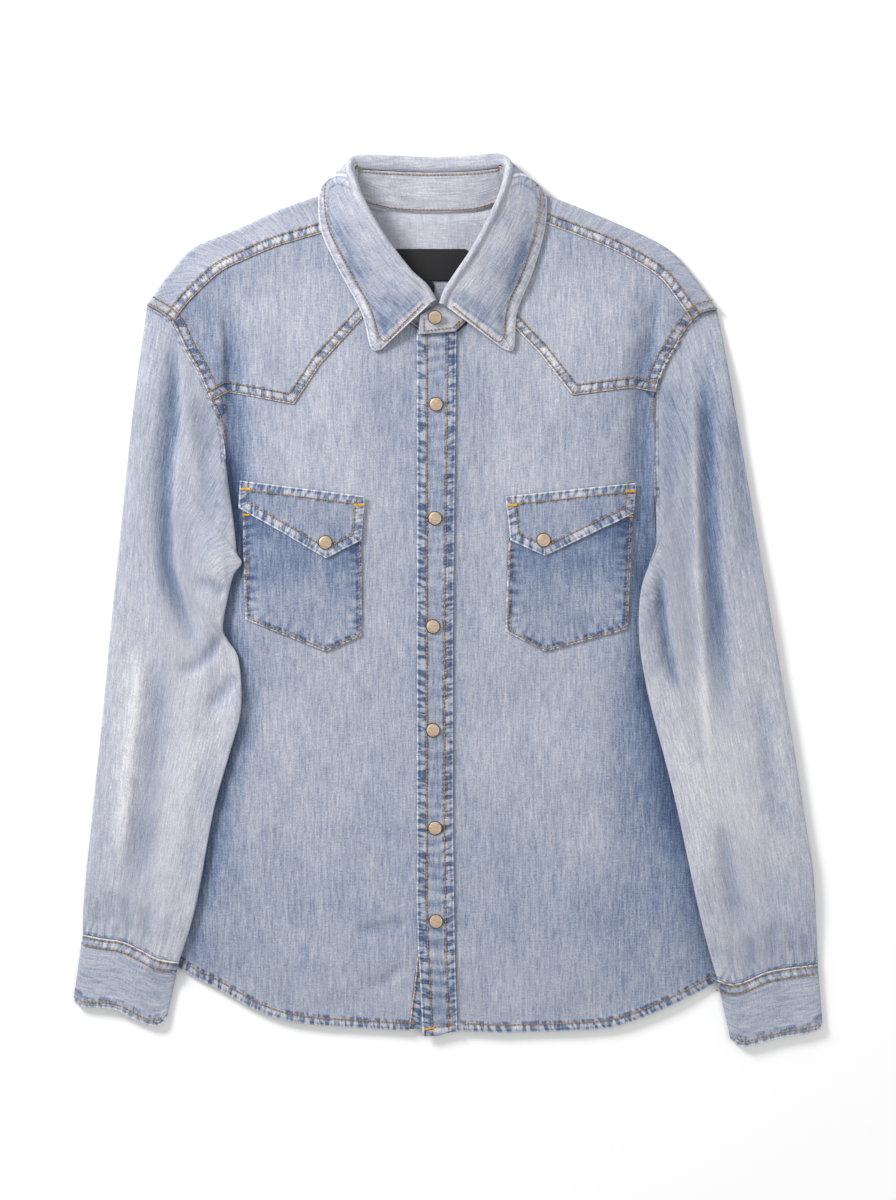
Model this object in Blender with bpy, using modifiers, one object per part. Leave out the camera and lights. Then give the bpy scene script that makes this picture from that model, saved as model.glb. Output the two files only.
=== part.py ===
"""Light washed denim western shirt, laid flat on its back.

The front is up, the collar points to +Y and the floor is z = 0. The wearer's right is -X.
Sizes below are millimetres. Every cloth piece is an open surface with a Solidify modifier.
"""

from collections import namedtuple

import bpy
import numpy as np

MM = 0.001

# Driving dimensions
WALL = 1.2
CUFF_WALL = 1.5
COLLAR_WALL = 1.5
SEAM_GAP = 0.3
ARMHOLE_GAP = 0.9
BACK_ARMHOLE_INSET = 4.0
COLLAR_SEAM_GAP = 3.0
STACK_GAP = 0.6
BACK_SEAM_Y = 205.0
SIDE_EDGE_TOP = 2.8
ARMHOLE_EDGE_TOP = 5.0
PLATEAU_TOP = 6.2
SIDE_RUN = 60.0
HEM_RUN = 90.0
SHOULDER_FOLD_HEIGHT = 4.8
SLEEVE_HEIGHT = 6.2
CUFF_HEIGHT = 5.8
SUPPORT_RUN = 24.0
ROLL_RADIUS = 2.6
AROUND_SLEEVE = 16
SNAP_RADIUS = 6.25
SNAP_HEIGHT = 1.8
SNAP_RIM = 0.8
LABEL_WALL = 1.0

# How the cloth lies
HEM_LOFT = 0.45
CREASE_EDGE_RUN = 12.0
ARMHOLE_RISE_RUN = 50.0
SLEEVE_CLEARANCE = 0.7
SLEEVE_SUPPORT_TOP = 18.0
SLEEVE_SUPPORT_RUN = 16.0
ARMHOLE_SHARE = 0.22
GATHER_SHARE = 0.1
SEAM_SHARE = 0.045
UNDERARM_LIFT = 0.6
TUBE_FULLNESS = 0.6
PLACKET_STEP_X = -5.0
PLACKET_STEP = 4.0
PLACKET_BOTTOM_Y = -379.0
UNDER_PLACKET_BOTTOM_Y = -373.0
UNDER_PLACKET_MARGIN = 1.2
FRONT_COLUMN_STEP = 17.0
YOKE_CORNER_RUN = 20.0
YOKE_CORNER_END = 4.0
NECK_FOOT_SHARE = 0.85
WING_FOOT_SHARE = 0.82
WING_FOOT_SLANT = 0.6

Point = namedtuple("Point", "x y")
Crease = namedtuple("Crease", "x0 y0 x1 y1 width depth")
Station = namedtuple("Station", "neck roll edge turn drop")
Patch = namedtuple("Patch", "left right bottom top columns")
Snap = namedtuple("Snap", "name x y lift")

# Body outline, bottom to top: the side seam, then the armhole seam from the armpit up
SIDE_RIGHT = (
    Point(-246, -307),
    Point(-231, -200),
    Point(-216, -100),
    Point(-203, 0),
    Point(-197, 60),
    Point(-194, 115),
    Point(-198, 153),
    Point(-206, 173),
    Point(-215, 195),
    Point(-228, 218),
    Point(-239, 240),
    Point(-248, 249),
    Point(-262, 257),
)
SIDE_LEFT = (
    Point(243, -322),
    Point(220, -200),
    Point(204, -100),
    Point(190, 0),
    Point(184, 50),
    Point(181, 77),
    Point(180, 139),
    Point(180, 173.5),
    Point(182, 188),
    Point(188, 205),
    Point(201, 227),
    Point(211, 241),
    Point(219, 249),
    Point(234, 253),
)
ARMPIT_RIGHT_Y = 115.0
ARMPIT_LEFT_Y = 77.0
HEM = (
    Point(-246, -307),
    Point(-233, -321),
    Point(-204, -336),
    Point(-164, -358),
    Point(-129, -368),
    Point(-79, -372),
    Point(-24, -375),
    Point(13, -375),
    Point(54, -376),
    Point(132, -373),
    Point(167, -364),
    Point(204, -348),
    Point(234, -332),
    Point(243, -322),
)

# Pointed yoke seams, carried on to the neck and down the neck edge to the placket
YOKE_SEAM_RIGHT = (
    Point(-206, 173),
    Point(-192, 181),
    Point(-134, 170),
    Point(-111, 205),
    Point(-73, 247),
    Point(-56, 265),
    Point(-52, 259),
    Point(-36, 242),
    Point(-25, 235),
)
YOKE_SEAM_LEFT = (
    Point(8, 233),
    Point(18, 241),
    Point(32, 260),
    Point(34, 264),
    Point(59, 236),
    Point(80, 214),
    Point(108, 178),
    Point(161, 185),
    Point(180, 181),
)
# The same seams from armhole to neck, a point for each column of the yoke
YOKE_FOOT_RIGHT = (
    Point(-206, 173),
    Point(-192, 181),
    Point(-163, 175.5),
    Point(-134, 170),
    Point(-111, 205),
    Point(-92, 226),
    Point(-73, 247),
    Point(-56, 265),
)
YOKE_FOOT_LEFT = (
    Point(34, 264),
    Point(59, 236),
    Point(69.5, 225),
    Point(80, 214),
    Point(94, 196),
    Point(108, 178),
    Point(161, 185),
    Point(180, 181),
)
YOKE_NECK_RIGHT = (Point(-56, 265), Point(-72, 291), Point(-87, 322), Point(-90, 327))
YOKE_NECK_LEFT = (Point(34, 264), Point(48, 291), Point(65, 322), Point(68, 333))

# The shoulder fold is the outline, and the front shoulder seam lies below it on the front
FOLD_RIGHT = (
    Point(-94, 357),
    Point(-110, 352),
    Point(-147, 339),
    Point(-184, 322),
    Point(-216, 309),
    Point(-229, 299),
    Point(-245, 280),
    Point(-261.6, 257.3),
)
SHOULDER_SEAM_RIGHT = (
    Point(-90, 327),
    Point(-110, 319),
    Point(-147, 308),
    Point(-176, 296),
    Point(-198, 285),
    Point(-219, 266),
    Point(-230, 254),
    Point(-238.4, 242.5),
)
FOLD_LEFT = (
    Point(69, 359),
    Point(83, 353),
    Point(114, 341),
    Point(145, 328),
    Point(172, 316),
    Point(194, 303),
    Point(212, 283),
    Point(233.6, 253.4),
)
SHOULDER_SEAM_LEFT = (
    Point(68, 333),
    Point(83, 328),
    Point(112, 317),
    Point(140, 306),
    Point(165, 293),
    Point(184, 280),
    Point(197, 264),
    Point(211.6, 243.5),
)
BACK_NECK = (
    Point(-87, 351),
    Point(-73, 343.5),
    Point(-45, 337.6),
    Point(-9, 336.2),
    Point(22, 337.4),
    Point(43, 343.5),
    Point(58, 351),
)

# Sleeve edges as they lie, armhole to cuff
SLEEVE_OUTER_RIGHT = (
    Point(-262, 257),
    Point(-274, 165),
    Point(-283, 78),
    Point(-292, -9),
    Point(-300, -96),
    Point(-309, -183),
    Point(-318, -291),
)
SLEEVE_INNER_RIGHT = (
    Point(-194, 115),
    Point(-188, 81),
    Point(-180, 32),
    Point(-192, 1),
    Point(-195, -27),
    Point(-181, -52),
    Point(-179, -93),
    Point(-188, -124),
    Point(-204, -186),
    Point(-219, -266),
    Point(-234, -315),
)
SLEEVE_OUTER_LEFT = (
    Point(234, 253),
    Point(241, 217),
    Point(253, 148),
    Point(265, 78),
    Point(277, 9),
    Point(289, -61),
    Point(301, -130),
    Point(312, -200),
    Point(322, -317),
)
SLEEVE_INNER_LEFT = (
    Point(181, 77),
    Point(180, 36),
    Point(167, 2),
    Point(166, -36),
    Point(177, -98),
    Point(197, -173),
    Point(219, -275),
    Point(234, -330),
)
CUFF_TOP_RIGHT = (
    Point(-318, -291),
    Point(-284, -297),
    Point(-268, -304),
    Point(-252, -313),
    Point(-234, -315),
)
CUFF_BOTTOM_RIGHT = (
    Point(-326, -349),
    Point(-318, -353),
    Point(-291, -355),
    Point(-274, -364),
    Point(-260, -369),
    Point(-250, -370),
    Point(-244, -365),
)
CUFF_TOP_LEFT = (
    Point(322, -317),
    Point(296, -320),
    Point(276, -324),
    Point(260, -331),
    Point(246, -334),
    Point(234, -330),
)
CUFF_BOTTOM_LEFT = (
    Point(326, -371),
    Point(313, -377),
    Point(289, -381),
    Point(260, -388),
    Point(252, -388),
    Point(246, -385),
)

# Collar, from the wearer's right front end round the back of the neck to the left front end.
# neck is the neck seam, roll the crest of the fold and edge the leaf's outer edge. turn tips the
# fold from lying outward (0) to standing up (90), and drop is how far the leaf's seam is below it.
COLLAR = (
    Station((-26, 236.5, 6.2), (-12.5, 258.5, 19.0), (-58, 217.5, 9.2), 90, 5.0),
    Station((-36, 244.0, 6.6), (-20, 271, 21.0), (-67, 219, 9.0), 90, 3.0),
    Station((-52, 262.0, 7.0), (-34, 284, 23.0), (-75, 249, 9.0), 90, 3.0),
    Station((-70, 291.0, 6.8), (-54, 310, 24.0), (-95, 287, 9.0), 90, 3.0),
    Station((-85, 322.0, 6.4), (-72, 340, 24.0), (-110, 320, 8.6), 90, 3.0),
    Station((-90, 345.0, 6.0), (-82, 362, 21.0), (-112, 351, 8.0), 80, 4.0),
    Station((-87, 353.5, 5.0), (-87, 377, 16.0), (-106, 364, 4.6), 55, 6.0),
    Station((-74, 345.5, 2.8), (-80, 386, 9.6), (-90, 368, 1.0), 14, 9.0),
    Station((-45, 338.8, 1.5), (-52, 386.3, 5.4), (-56, 350, 0.8), 3, 10.5),
    Station((-9, 337.4, 1.5), (-14, 385, 4.4), (-12, 348, 0.8), 0, 10.5),
    Station((22, 338.6, 1.5), (22, 386.3, 5.4), (24, 350, 0.8), 3, 10.5),
    Station((44, 345.5, 2.8), (46, 387, 9.6), (58, 368, 1.0), 14, 9.0),
    Station((59, 353.5, 5.0), (54, 378, 16.0), (75, 364, 4.6), 55, 6.0),
    Station((65, 345.0, 6.0), (51, 363, 21.0), (85, 351, 8.0), 80, 4.0),
    Station((62, 322.0, 6.4), (43, 342, 24.0), (84, 322, 8.6), 90, 3.0),
    Station((46, 291.0, 6.8), (24, 305, 24.0), (73, 283, 9.0), 90, 3.0),
    Station((30, 262.0, 7.2), (8, 281, 23.0), (60, 250, 9.0), 90, 3.0),
    Station((17, 244.0, 7.6), (-1, 267, 21.0), (57, 218, 9.0), 90, 3.0),
    Station((6, 235.0, 8.6), (-5, 256, 19.0), (46, 219.5, 9.2), 90, 3.0),
)
UNDER_TAB_END = ((5, 234.0, 5.9), (5, 251, 9.5))
OVER_TAB_END = ((-26, 231.0, 9.0), (-24, 247, 13.0))

# Placket edges, bottom to top
PLACKET_LEFT = (Point(-22, -379), Point(-24, -340), Point(-27, -280), Point(-27, 230))
PLACKET_RIGHT = (Point(8.5, -380), Point(6, -300), Point(4.5, -200), Point(4.5, -20), Point(7.4, 230))
UNDER_PLACKET_LEFT = (Point(-32, -380), Point(-26, -303), Point(-24.5, -260), Point(-24.5, 230))
PLACKET_TOP_Y = 229.0

POCKET_RIGHT = Patch(
    left=(Point(-176, -17), Point(-179, 87)),
    right=(Point(-75, -31), Point(-75, 75)),
    bottom=(Point(-176, -17), Point(-106, -45), Point(-75, -31)),
    top=(Point(-179, 87), Point(-75, 76)),
    columns=(0, 0.17, 0.34, 0.51, 0.69, 0.84, 1),
)
FLAP_RIGHT = Patch(
    left=(Point(-182, 80), Point(-181.5, 104)),
    right=(Point(-75, 52), Point(-72, 90)),
    bottom=(Point(-182, 80), Point(-106, 36), Point(-75, 52)),
    top=(Point(-181.5, 104), Point(-72, 90)),
    columns=(0, 0.18, 0.36, 0.54, 0.71, 0.85, 1),
)
POCKET_LEFT = Patch(
    left=(Point(50, -27), Point(53.5, 75)),
    right=(Point(156, -25), Point(161, 86)),
    bottom=(Point(50, -27), Point(84, -45), Point(156, -25)),
    top=(Point(53.5, 76), Point(161, 86)),
    columns=(0, 0.16, 0.32, 0.49, 0.66, 0.83, 1),
)
FLAP_LEFT = Patch(
    left=(Point(54, 52), Point(50, 90)),
    right=(Point(161, 75), Point(164, 102)),
    bottom=(Point(54, 52), Point(84, 38), Point(161, 75)),
    top=(Point(50, 90), Point(164, 102)),
    columns=(0, 0.14, 0.28, 0.46, 0.64, 0.82, 1),
)

# The largest folds: soft troughs beside the armholes, and one along each sleeve
BODY_CREASES = (
    Crease(-190, 240, -190, -40, 20, 2.0),
    Crease(172, 230, 170, 0, 20, 1.8),
    Crease(186, -120, 205, -300, 26, 0.9),
    Crease(-52, -232, -40, -330, 22, 0.7),
)
SLEEVE_CREASES = (
    Crease(-242, 200, -244, 60, 13, 1.8),
    Crease(-238, 20, -216, -60, 12, 1.6),
    Crease(-262, -60, -290, -260, 12, 1.1),
    Crease(212, 190, 222, 30, 12, 1.8),
    Crease(228, -20, 238, -160, 12, 1.8),
    Crease(190, -10, 200, -90, 10, 1.2),
)

SNAPS = (
    Snap("snap_placket_1", -10.4, 170, "placket"),
    Snap("snap_placket_2", -11.3, 71, "placket"),
    Snap("snap_placket_3", -13.0, -23, "placket"),
    Snap("snap_placket_4", -13.0, -113, "placket"),
    Snap("snap_placket_5", -11.3, -198, "placket"),
    Snap("snap_placket_6", -10.4, -279, "placket"),
    Snap("snap_flap_right", -106.5, 50, "flap"),
    Snap("snap_flap_left", 83.0, 52, "flap"),
)
COLLAR_SNAP = (-11.3, 246.0, 13.2)
COLLAR_SNAP_TILT = 0.21

POCKET_LIFT = STACK_GAP
FLAP_LIFT = POCKET_LIFT + WALL + STACK_GAP
PLACKET_LIFT = STACK_GAP


def smooth(t):
    """0 to 1 with no kink at either end."""
    t = np.clip(t, 0.0, 1.0)
    return t * t * (3 - 2 * t)


def value_at(table, key, along, across):
    """The across value of a table of points at key, read along its other column."""
    rows = sorted(table, key=lambda point: getattr(point, along))
    keys = [getattr(point, along) for point in rows]
    return np.interp(key, keys, [getattr(point, across) for point in rows])


def x_at(table, y):
    return value_at(table, y, "y", "x")


def y_at(table, x):
    return value_at(table, x, "x", "y")


def walk(points, t):
    """The place at fraction t of a polyline's length."""
    points = np.array(points, float)
    steps = np.linalg.norm(np.diff(points, axis=0), axis=1)
    length = np.concatenate([[0.0], np.cumsum(steps)])
    return np.array([np.interp(t * length[-1], length, column) for column in points.T])


def spline(points, t):
    """Catmull-Rom through the rows of points, with t counted in rows."""
    points = np.array(points, float)
    last = len(points) - 1
    start = min(int(t), last - 1)
    before, first, second, after = (points[min(max(start + k, 0), last)] for k in (-1, 0, 1, 2))
    u = t - start
    curve = 2 * first + (second - before) * u
    curve += (2 * before - 5 * first + 4 * second - after) * u**2
    curve += (3 * first - before - 3 * second + after) * u**3
    return curve / 2


def crease_depth(creases, x, y):
    """How far the soft troughs of a table sink the cloth at x, y."""
    depth = 0.0
    for crease in creases:
        start = np.array((crease.x0, crease.y0), float)
        run = np.array((crease.x1, crease.y1), float) - start
        length = np.linalg.norm(run)
        offset = np.array((x, y)) - start
        along = offset @ run / length
        aside = (offset[0] * run[1] - offset[1] * run[0]) / length
        ends = smooth((along + crease.width) / crease.width)
        ends *= smooth((length + crease.width - along) / crease.width)
        depth += crease.depth * ends * np.exp(-((aside / crease.width) ** 2))
    return depth


def body_top(x, y):
    """Height of the fronts' and front yokes' outer face."""
    right, left = x_at(SIDE_RIGHT, y), x_at(SIDE_LEFT, y)
    nearer_right = x - right < left - x
    armpit = ARMPIT_RIGHT_Y if nearer_right else ARMPIT_LEFT_Y
    inside = min(x - right, left - x)
    edge = SIDE_EDGE_TOP + (ARMHOLE_EDGE_TOP - SIDE_EDGE_TOP) * smooth((y - armpit) / ARMHOLE_RISE_RUN)
    above_hem = smooth((y - y_at(HEM, x)) / HEM_RUN)
    rise = smooth(inside / SIDE_RUN) * (HEM_LOFT + (1 - HEM_LOFT) * above_hem)
    top = edge + (PLATEAU_TOP - edge) * rise
    sunk = crease_depth(BODY_CREASES, x, y) * smooth(inside / CREASE_EDGE_RUN)
    return max(top - sunk, SIDE_EDGE_TOP)


def sleeve_base(x, y):
    """Height that a sleeve or cuff rests on: the floor, or the body's side where it covers it."""
    right, left = x_at(SIDE_RIGHT, y), x_at(SIDE_LEFT, y)
    outside = max(right - x, x - left, y_at(HEM, x) - y, 0.0)
    armpit = ARMPIT_RIGHT_Y if x < 0 else ARMPIT_LEFT_Y
    below_armpit = smooth((armpit + SLEEVE_SUPPORT_TOP - y) / SLEEVE_SUPPORT_RUN)
    resting = (body_top(x, y) + SLEEVE_CLEARANCE) * below_armpit
    return resting * (1 - smooth(outside / SUPPORT_RUN))


def make_material(name, color, roughness, metallic=0.0):
    material = bpy.data.materials.new(name)
    material.use_nodes = True
    shader = material.node_tree.nodes["Principled BSDF"]
    shader.inputs["Base Color"].default_value = (*color, 1)
    shader.inputs["Roughness"].default_value = roughness
    shader.inputs["Metallic"].default_value = metallic
    return material


def add_sheet(name, points, faces, wall, offset, material):
    """A cloth piece: its surface in millimetres, thickened by a Solidify modifier."""
    mesh = bpy.data.meshes.new(name)
    mesh.from_pydata([tuple(MM * c for c in point) for point in points], [], faces)
    mesh.materials.append(material)
    mesh.shade_smooth()
    piece = bpy.data.objects.new(name, mesh)
    shirt.objects.link(piece)
    thicken = piece.modifiers.new("wall", "SOLIDIFY")
    thicken.thickness = wall * MM
    thicken.offset = offset
    return piece


def grid_faces(rows, columns, closed=False):
    """Quads between rows of points, with each row joined into a ring if it is closed."""
    faces = []
    for row in range(rows - 1):
        for column in range(columns if closed else columns - 1):
            after = (column + 1) % columns
            low, high = row * columns, (row + 1) * columns
            faces.append((low + column, low + after, high + after, high + column))
    return faces


def panel_points(left, right, bottom, top, columns, rows):
    """A grid inside four edges: left and right give x at a y, and bottom and top give y at an x."""
    points = []
    for v in rows:
        for u in columns:
            x, y = left(0) + u * (right(0) - left(0)), 0.0
            for _ in range(20):
                y = bottom(x) + v * (top(x) - bottom(x))
                x = left(y) + u * (right(y) - left(y))
            points.append((x, y))
    return points


def columns_through(seam, left, right, spacing):
    """Shares from left to right that pass through every corner of a seam."""
    corners = sorted({left, right, *(point.x for point in seam if left < point.x < right)})
    places = [left]
    for start, end in zip(corners, corners[1:]):
        places += list(np.linspace(start, end, int(np.ceil((end - start) / spacing)) + 1)[1:])
    return (np.array(places) - left) / (right - left)


def ruled_points(bottom, top, left, right, rows):
    """A grid between matched points of two seams. left and right hold its end columns."""
    points = []
    for v in rows:
        for column, (low, high) in enumerate(zip(bottom, top)):
            x, y = np.array(low) + (np.array(high) - np.array(low)) * v
            y += SEAM_GAP * (1 - 2 * v)
            if column == 0:
                x = left(y)
            if column == len(bottom) - 1:
                x = right(y)
            points.append((x, y))
    return points


def add_panel(name, plan, size, height, wall, offset, material):
    points = [(x, y, height(x, y)) for x, y in plan]
    return add_sheet(name, points, grid_faces(*size), wall, offset, material)


def add_back():
    columns = np.linspace(0, 1, 8)
    rows = np.linspace(0, 1, 11)

    def inset(y, armpit):
        return SEAM_GAP + BACK_ARMHOLE_INSET * smooth((y - armpit + 60) / 40)

    plan = panel_points(
        lambda y: x_at(SIDE_RIGHT, y) + inset(y, ARMPIT_RIGHT_Y),
        lambda y: x_at(SIDE_LEFT, y) - inset(y, ARMPIT_LEFT_Y),
        lambda x: y_at(HEM, x),
        lambda x: BACK_SEAM_Y - SEAM_GAP,
        columns,
        rows,
    )
    size = (len(rows), len(columns))
    return add_panel("back", plan, size, lambda x, y: WALL, WALL, -1, denim)


def armhole_gap(y, armpit):
    return SEAM_GAP + (ARMHOLE_GAP - SEAM_GAP) * smooth((y - armpit + 20) / 20)


def armhole_side(outline, y, corner):
    """A front's side edge, which ends upright at the yoke's corner."""
    start_y = corner.y - YOKE_CORNER_RUN
    if y < start_y:
        return x_at(outline, y)
    return np.interp(y, (start_y, corner.y - YOKE_CORNER_END), (x_at(outline, start_y), corner.x))


def add_fronts():
    rows = np.concatenate([np.linspace(0, 0.12, 4)[:-1], np.linspace(0.12, 1, 21)])
    corner = YOKE_SEAM_RIGHT[0]
    centre_x = UNDER_PLACKET_LEFT[-1].x - SEAM_GAP
    columns = columns_through(YOKE_SEAM_RIGHT, corner.x + ARMHOLE_GAP, centre_x, FRONT_COLUMN_STEP)
    plan = panel_points(
        lambda y: armhole_side(SIDE_RIGHT, y, corner) + armhole_gap(y, ARMPIT_RIGHT_Y),
        lambda y: x_at(UNDER_PLACKET_LEFT, y) - SEAM_GAP,
        lambda x: y_at(HEM, x),
        lambda x: y_at(YOKE_SEAM_RIGHT, x) - SEAM_GAP,
        columns,
        rows,
    )
    size = (len(rows), len(columns))
    add_panel("front_right", plan, size, body_top, WALL, -1, denim)
    corner = YOKE_SEAM_LEFT[-1]
    centre_x = PLACKET_RIGHT[-1].x + SEAM_GAP
    columns = columns_through(YOKE_SEAM_LEFT, centre_x, corner.x - ARMHOLE_GAP, FRONT_COLUMN_STEP)
    plan = panel_points(
        lambda y: x_at(PLACKET_RIGHT, y) + SEAM_GAP,
        lambda y: armhole_side(SIDE_LEFT, y, corner) - armhole_gap(y, ARMPIT_LEFT_Y),
        lambda x: y_at(HEM, x),
        lambda x: y_at(YOKE_SEAM_LEFT, x) - SEAM_GAP,
        columns,
        rows,
    )
    size = (len(rows), len(columns))
    add_panel("front_left", plan, size, body_top, WALL, -1, denim)


def add_front_yokes():
    rows = np.linspace(0, 1, 7)
    plan = ruled_points(
        YOKE_FOOT_RIGHT,
        SHOULDER_SEAM_RIGHT[::-1],
        lambda y: x_at(SIDE_RIGHT, y) + ARMHOLE_GAP,
        lambda y: x_at(YOKE_NECK_RIGHT, y) - SEAM_GAP,
        rows,
    )
    size = (len(rows), len(YOKE_FOOT_RIGHT))
    add_panel("front_yoke_right", plan, size, body_top, WALL, -1, denim)
    plan = ruled_points(
        YOKE_FOOT_LEFT,
        SHOULDER_SEAM_LEFT,
        lambda y: x_at(YOKE_NECK_LEFT, y) + SEAM_GAP,
        lambda y: x_at(SIDE_LEFT, y) - ARMHOLE_GAP,
        rows,
    )
    add_panel("front_yoke_left", plan, size, body_top, WALL, -1, denim)


def add_back_yoke():
    """The back yoke lies on the floor, folds over the shoulders and ends at the front seams."""
    across = len(FOLD_RIGHT)
    under = np.linspace(0, 1, 5)
    fold_angles = np.radians((-90, -45, 0, 45, 90))
    strip = (0.45, 0.75, 1.0)
    points = []
    index = {}

    def at_armhole(place, column, outline):
        if column < across - 1:
            return place
        return np.array((x_at(outline, place[1]) - np.sign(place[0]) * ARMHOLE_GAP, place[1]))

    def wing(side, folds, seams, outline):
        radius = SHOULDER_FOLD_HEIGHT / 2
        for column, (fold, seam) in enumerate(zip(folds, seams)):
            reach = np.array(seam, float) - np.array(fold, float)
            inward = reach / np.linalg.norm(reach)
            low = np.array(fold) + inward * radius
            if column == across - 1:
                foot_x = x_at(outline, BACK_SEAM_Y)
            else:
                foot_x = WING_FOOT_SHARE * (fold.x + WING_FOOT_SLANT * (low[0] - fold.x))
            for row, share in enumerate(under[:-1]):
                y = BACK_SEAM_Y + share * (low[1] - BACK_SEAM_Y)
                x = foot_x + share * (low[0] - foot_x)
                if column == across - 1:
                    x = x_at(outline, y) - np.sign(x) * (SEAM_GAP + BACK_ARMHOLE_INSET)
                index[side, column, row] = len(points)
                points.append((x, y, WALL / 2))
            for step, angle in enumerate(fold_angles):
                rolled = np.array(fold) + inward * radius * (1 - np.cos(angle))
                place = at_armhole(rolled, column, outline)
                z = WALL / 2 + radius * (1 + np.sin(angle))
                index[side, column, len(under) - 1 + step] = len(points)
                points.append((*place, z))
            for step, share in enumerate(strip):
                place = at_armhole(low + (np.array(seam) - low) * share, column, outline)
                top = WALL / 2 + SHOULDER_FOLD_HEIGHT
                z = top + (body_top(*seam) - WALL / 2 - top) * smooth(share)
                index[side, column, len(under) + 4 + step] = len(points)
                points.append((*place, z))

    wing("right", FOLD_RIGHT, SHOULDER_SEAM_RIGHT, SIDE_RIGHT)
    wing("left", FOLD_LEFT, SHOULDER_SEAM_LEFT, SIDE_LEFT)
    for column, neck in enumerate(BACK_NECK):
        for row, share in enumerate(under):
            y = BACK_SEAM_Y + share * (neck.y - BACK_SEAM_Y)
            index["middle", column, row] = len(points)
            narrowing = NECK_FOOT_SHARE + (1 - NECK_FOOT_SHARE) * share
            points.append((neck.x * narrowing, y, WALL / 2))
    order = [("right", column) for column in range(across - 1, -1, -1)]
    order += [("middle", column) for column in range(len(BACK_NECK))]
    order += [("left", column) for column in range(across)]
    rows = len(under) + 4 + len(strip)
    faces = []
    for (side_a, a), (side_b, b) in zip(order, order[1:]):
        last = rows if side_a == side_b != "middle" else len(under)
        for row in range(last - 1):
            corners = ((side_a, a, row), (side_b, b, row), (side_b, b, row + 1), (side_a, a, row + 1))
            faces.append(tuple(index[corner] for corner in corners))
    return add_sheet("back_yoke", points, faces, WALL, 0, denim)


def ring_points(outer_to_inner, height, base):
    """One closed ring of a flattened tube. outer_to_inner gives the plan point at a share s."""
    ring = []
    for angle in np.linspace(0, 2 * np.pi, AROUND_SLEEVE, endpoint=False):
        s = (1 - np.cos(angle)) / 2
        x, y = outer_to_inner(s)
        lift = np.sign(np.sin(angle)) * abs(np.sin(angle)) ** TUBE_FULLNESS
        z = base(x, y, s) + height / 2 * (1 + lift)
        if lift > 0:
            z -= crease_depth(SLEEVE_CREASES, x, y) * lift
        ring.append((x, y, z))
    return ring


def add_sleeve(name, outer, inner, outline, cuff_top, armpit):
    rings = np.concatenate([[0, 0.02, 0.045, 0.075], np.linspace(0.12, 1, 19)])
    armhole = [point for point in reversed(outline) if point.y >= armpit]
    points = []
    for t in rings:
        start, end = walk(outer, t), walk(inner, t)
        from_armhole = 1 - smooth(t / ARMHOLE_SHARE)
        to_cuff = smooth((t - 1 + GATHER_SHARE) / GATHER_SHARE)

        def plan(s):
            straight = start + (end - start) * s
            chord = np.array(armhole[0]) + (np.array(armhole[-1]) - np.array(armhole[0])) * s
            cuff_chord = np.array(cuff_top[0]) + (np.array(cuff_top[-1]) - np.array(cuff_top[0])) * s
            place = straight + (walk(armhole, s) - chord) * from_armhole
            place = place + (walk(cuff_top, s) - cuff_chord) * to_cuff
            return place[0], place[1] + 2 * SEAM_GAP * to_cuff

        def base(x, y, s):
            at_seam = (SIDE_EDGE_TOP + UNDERARM_LIFT) * smooth((s - 0.75) / 0.2)
            blend = 1 - smooth(t / SEAM_SHARE)
            return at_seam * blend + sleeve_base(x, y) * (1 - blend)

        height = SLEEVE_HEIGHT + (CUFF_HEIGHT - SLEEVE_HEIGHT) * to_cuff
        points += ring_points(plan, height, base)
    faces = grid_faces(len(rings), AROUND_SLEEVE, closed=True)
    if outer[0].x < 0:
        faces = [face[::-1] for face in faces]
    return add_sheet(name, points, faces, WALL, -1, sleeve_denim)


def add_cuff(name, top, bottom):
    rows = (0, 0.08, 0.5, 0.86, 1)
    points = []
    for t in rows:

        def plan(s):
            return walk(top, s) + (walk(bottom, s) - walk(top, s)) * t

        def base(x, y, s):
            return sleeve_base(x, y)

        points += ring_points(plan, CUFF_HEIGHT, base)
    faces = grid_faces(len(rows), AROUND_SLEEVE, closed=True)
    if top[0].x < 0:
        faces = [face[::-1] for face in faces]
    return add_sheet(name, points, faces, CUFF_WALL, -1, denim)


def collar_sections(steps=2):
    """Neck seam, leaf seam, stand top, fold and leaf edge, with steps between stations."""
    columns = [[*row.neck, *row.roll, *row.edge, row.turn, row.drop] for row in COLLAR]
    last = len(COLLAR) - 1
    places = np.linspace(0, last, last * steps + 1)
    sections = []
    for t in places:
        row = spline(columns, t)
        neck, roll, edge = row[0:3], row[3:6], row[6:9]
        turn, drop = np.radians(row[9]), row[10]
        ahead = spline(columns, min(t + 0.2, last))[3:5] - spline(columns, max(t - 0.2, 0))[3:5]
        out = np.array((-ahead[1], ahead[0], 0)) / np.linalg.norm(ahead)
        tip = out * np.cos(turn) + np.array((0, 0, np.sin(turn)))
        inner = np.array((0, 0, np.cos(turn))) - out * np.sin(turn)
        bend = []
        for angle in np.radians((90, 45, 0, -45, -90)):
            bend.append(roll + ROLL_RADIUS * (tip * (np.cos(angle) - 1) + inner * np.sin(angle)))
        seam = bend[0] - tip * drop
        stand_gap = COLLAR_SEAM_GAP * (0.4 + np.sin(turn) * 0.9)
        sections.append((neck, seam, seam - tip * stand_gap, bend, edge))
    return sections


def add_collar_leaf():
    sections = collar_sections()
    points = []
    for _, seam, _, bend, edge in sections:
        fall = [bend[-1] + (edge - bend[-1]) * share for share in (0.3, 0.65, 1.0)]
        points += [seam, *bend, *fall]
    return add_sheet("collar_leaf", points, grid_faces(len(sections), 9), COLLAR_WALL, 0, denim)


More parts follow.
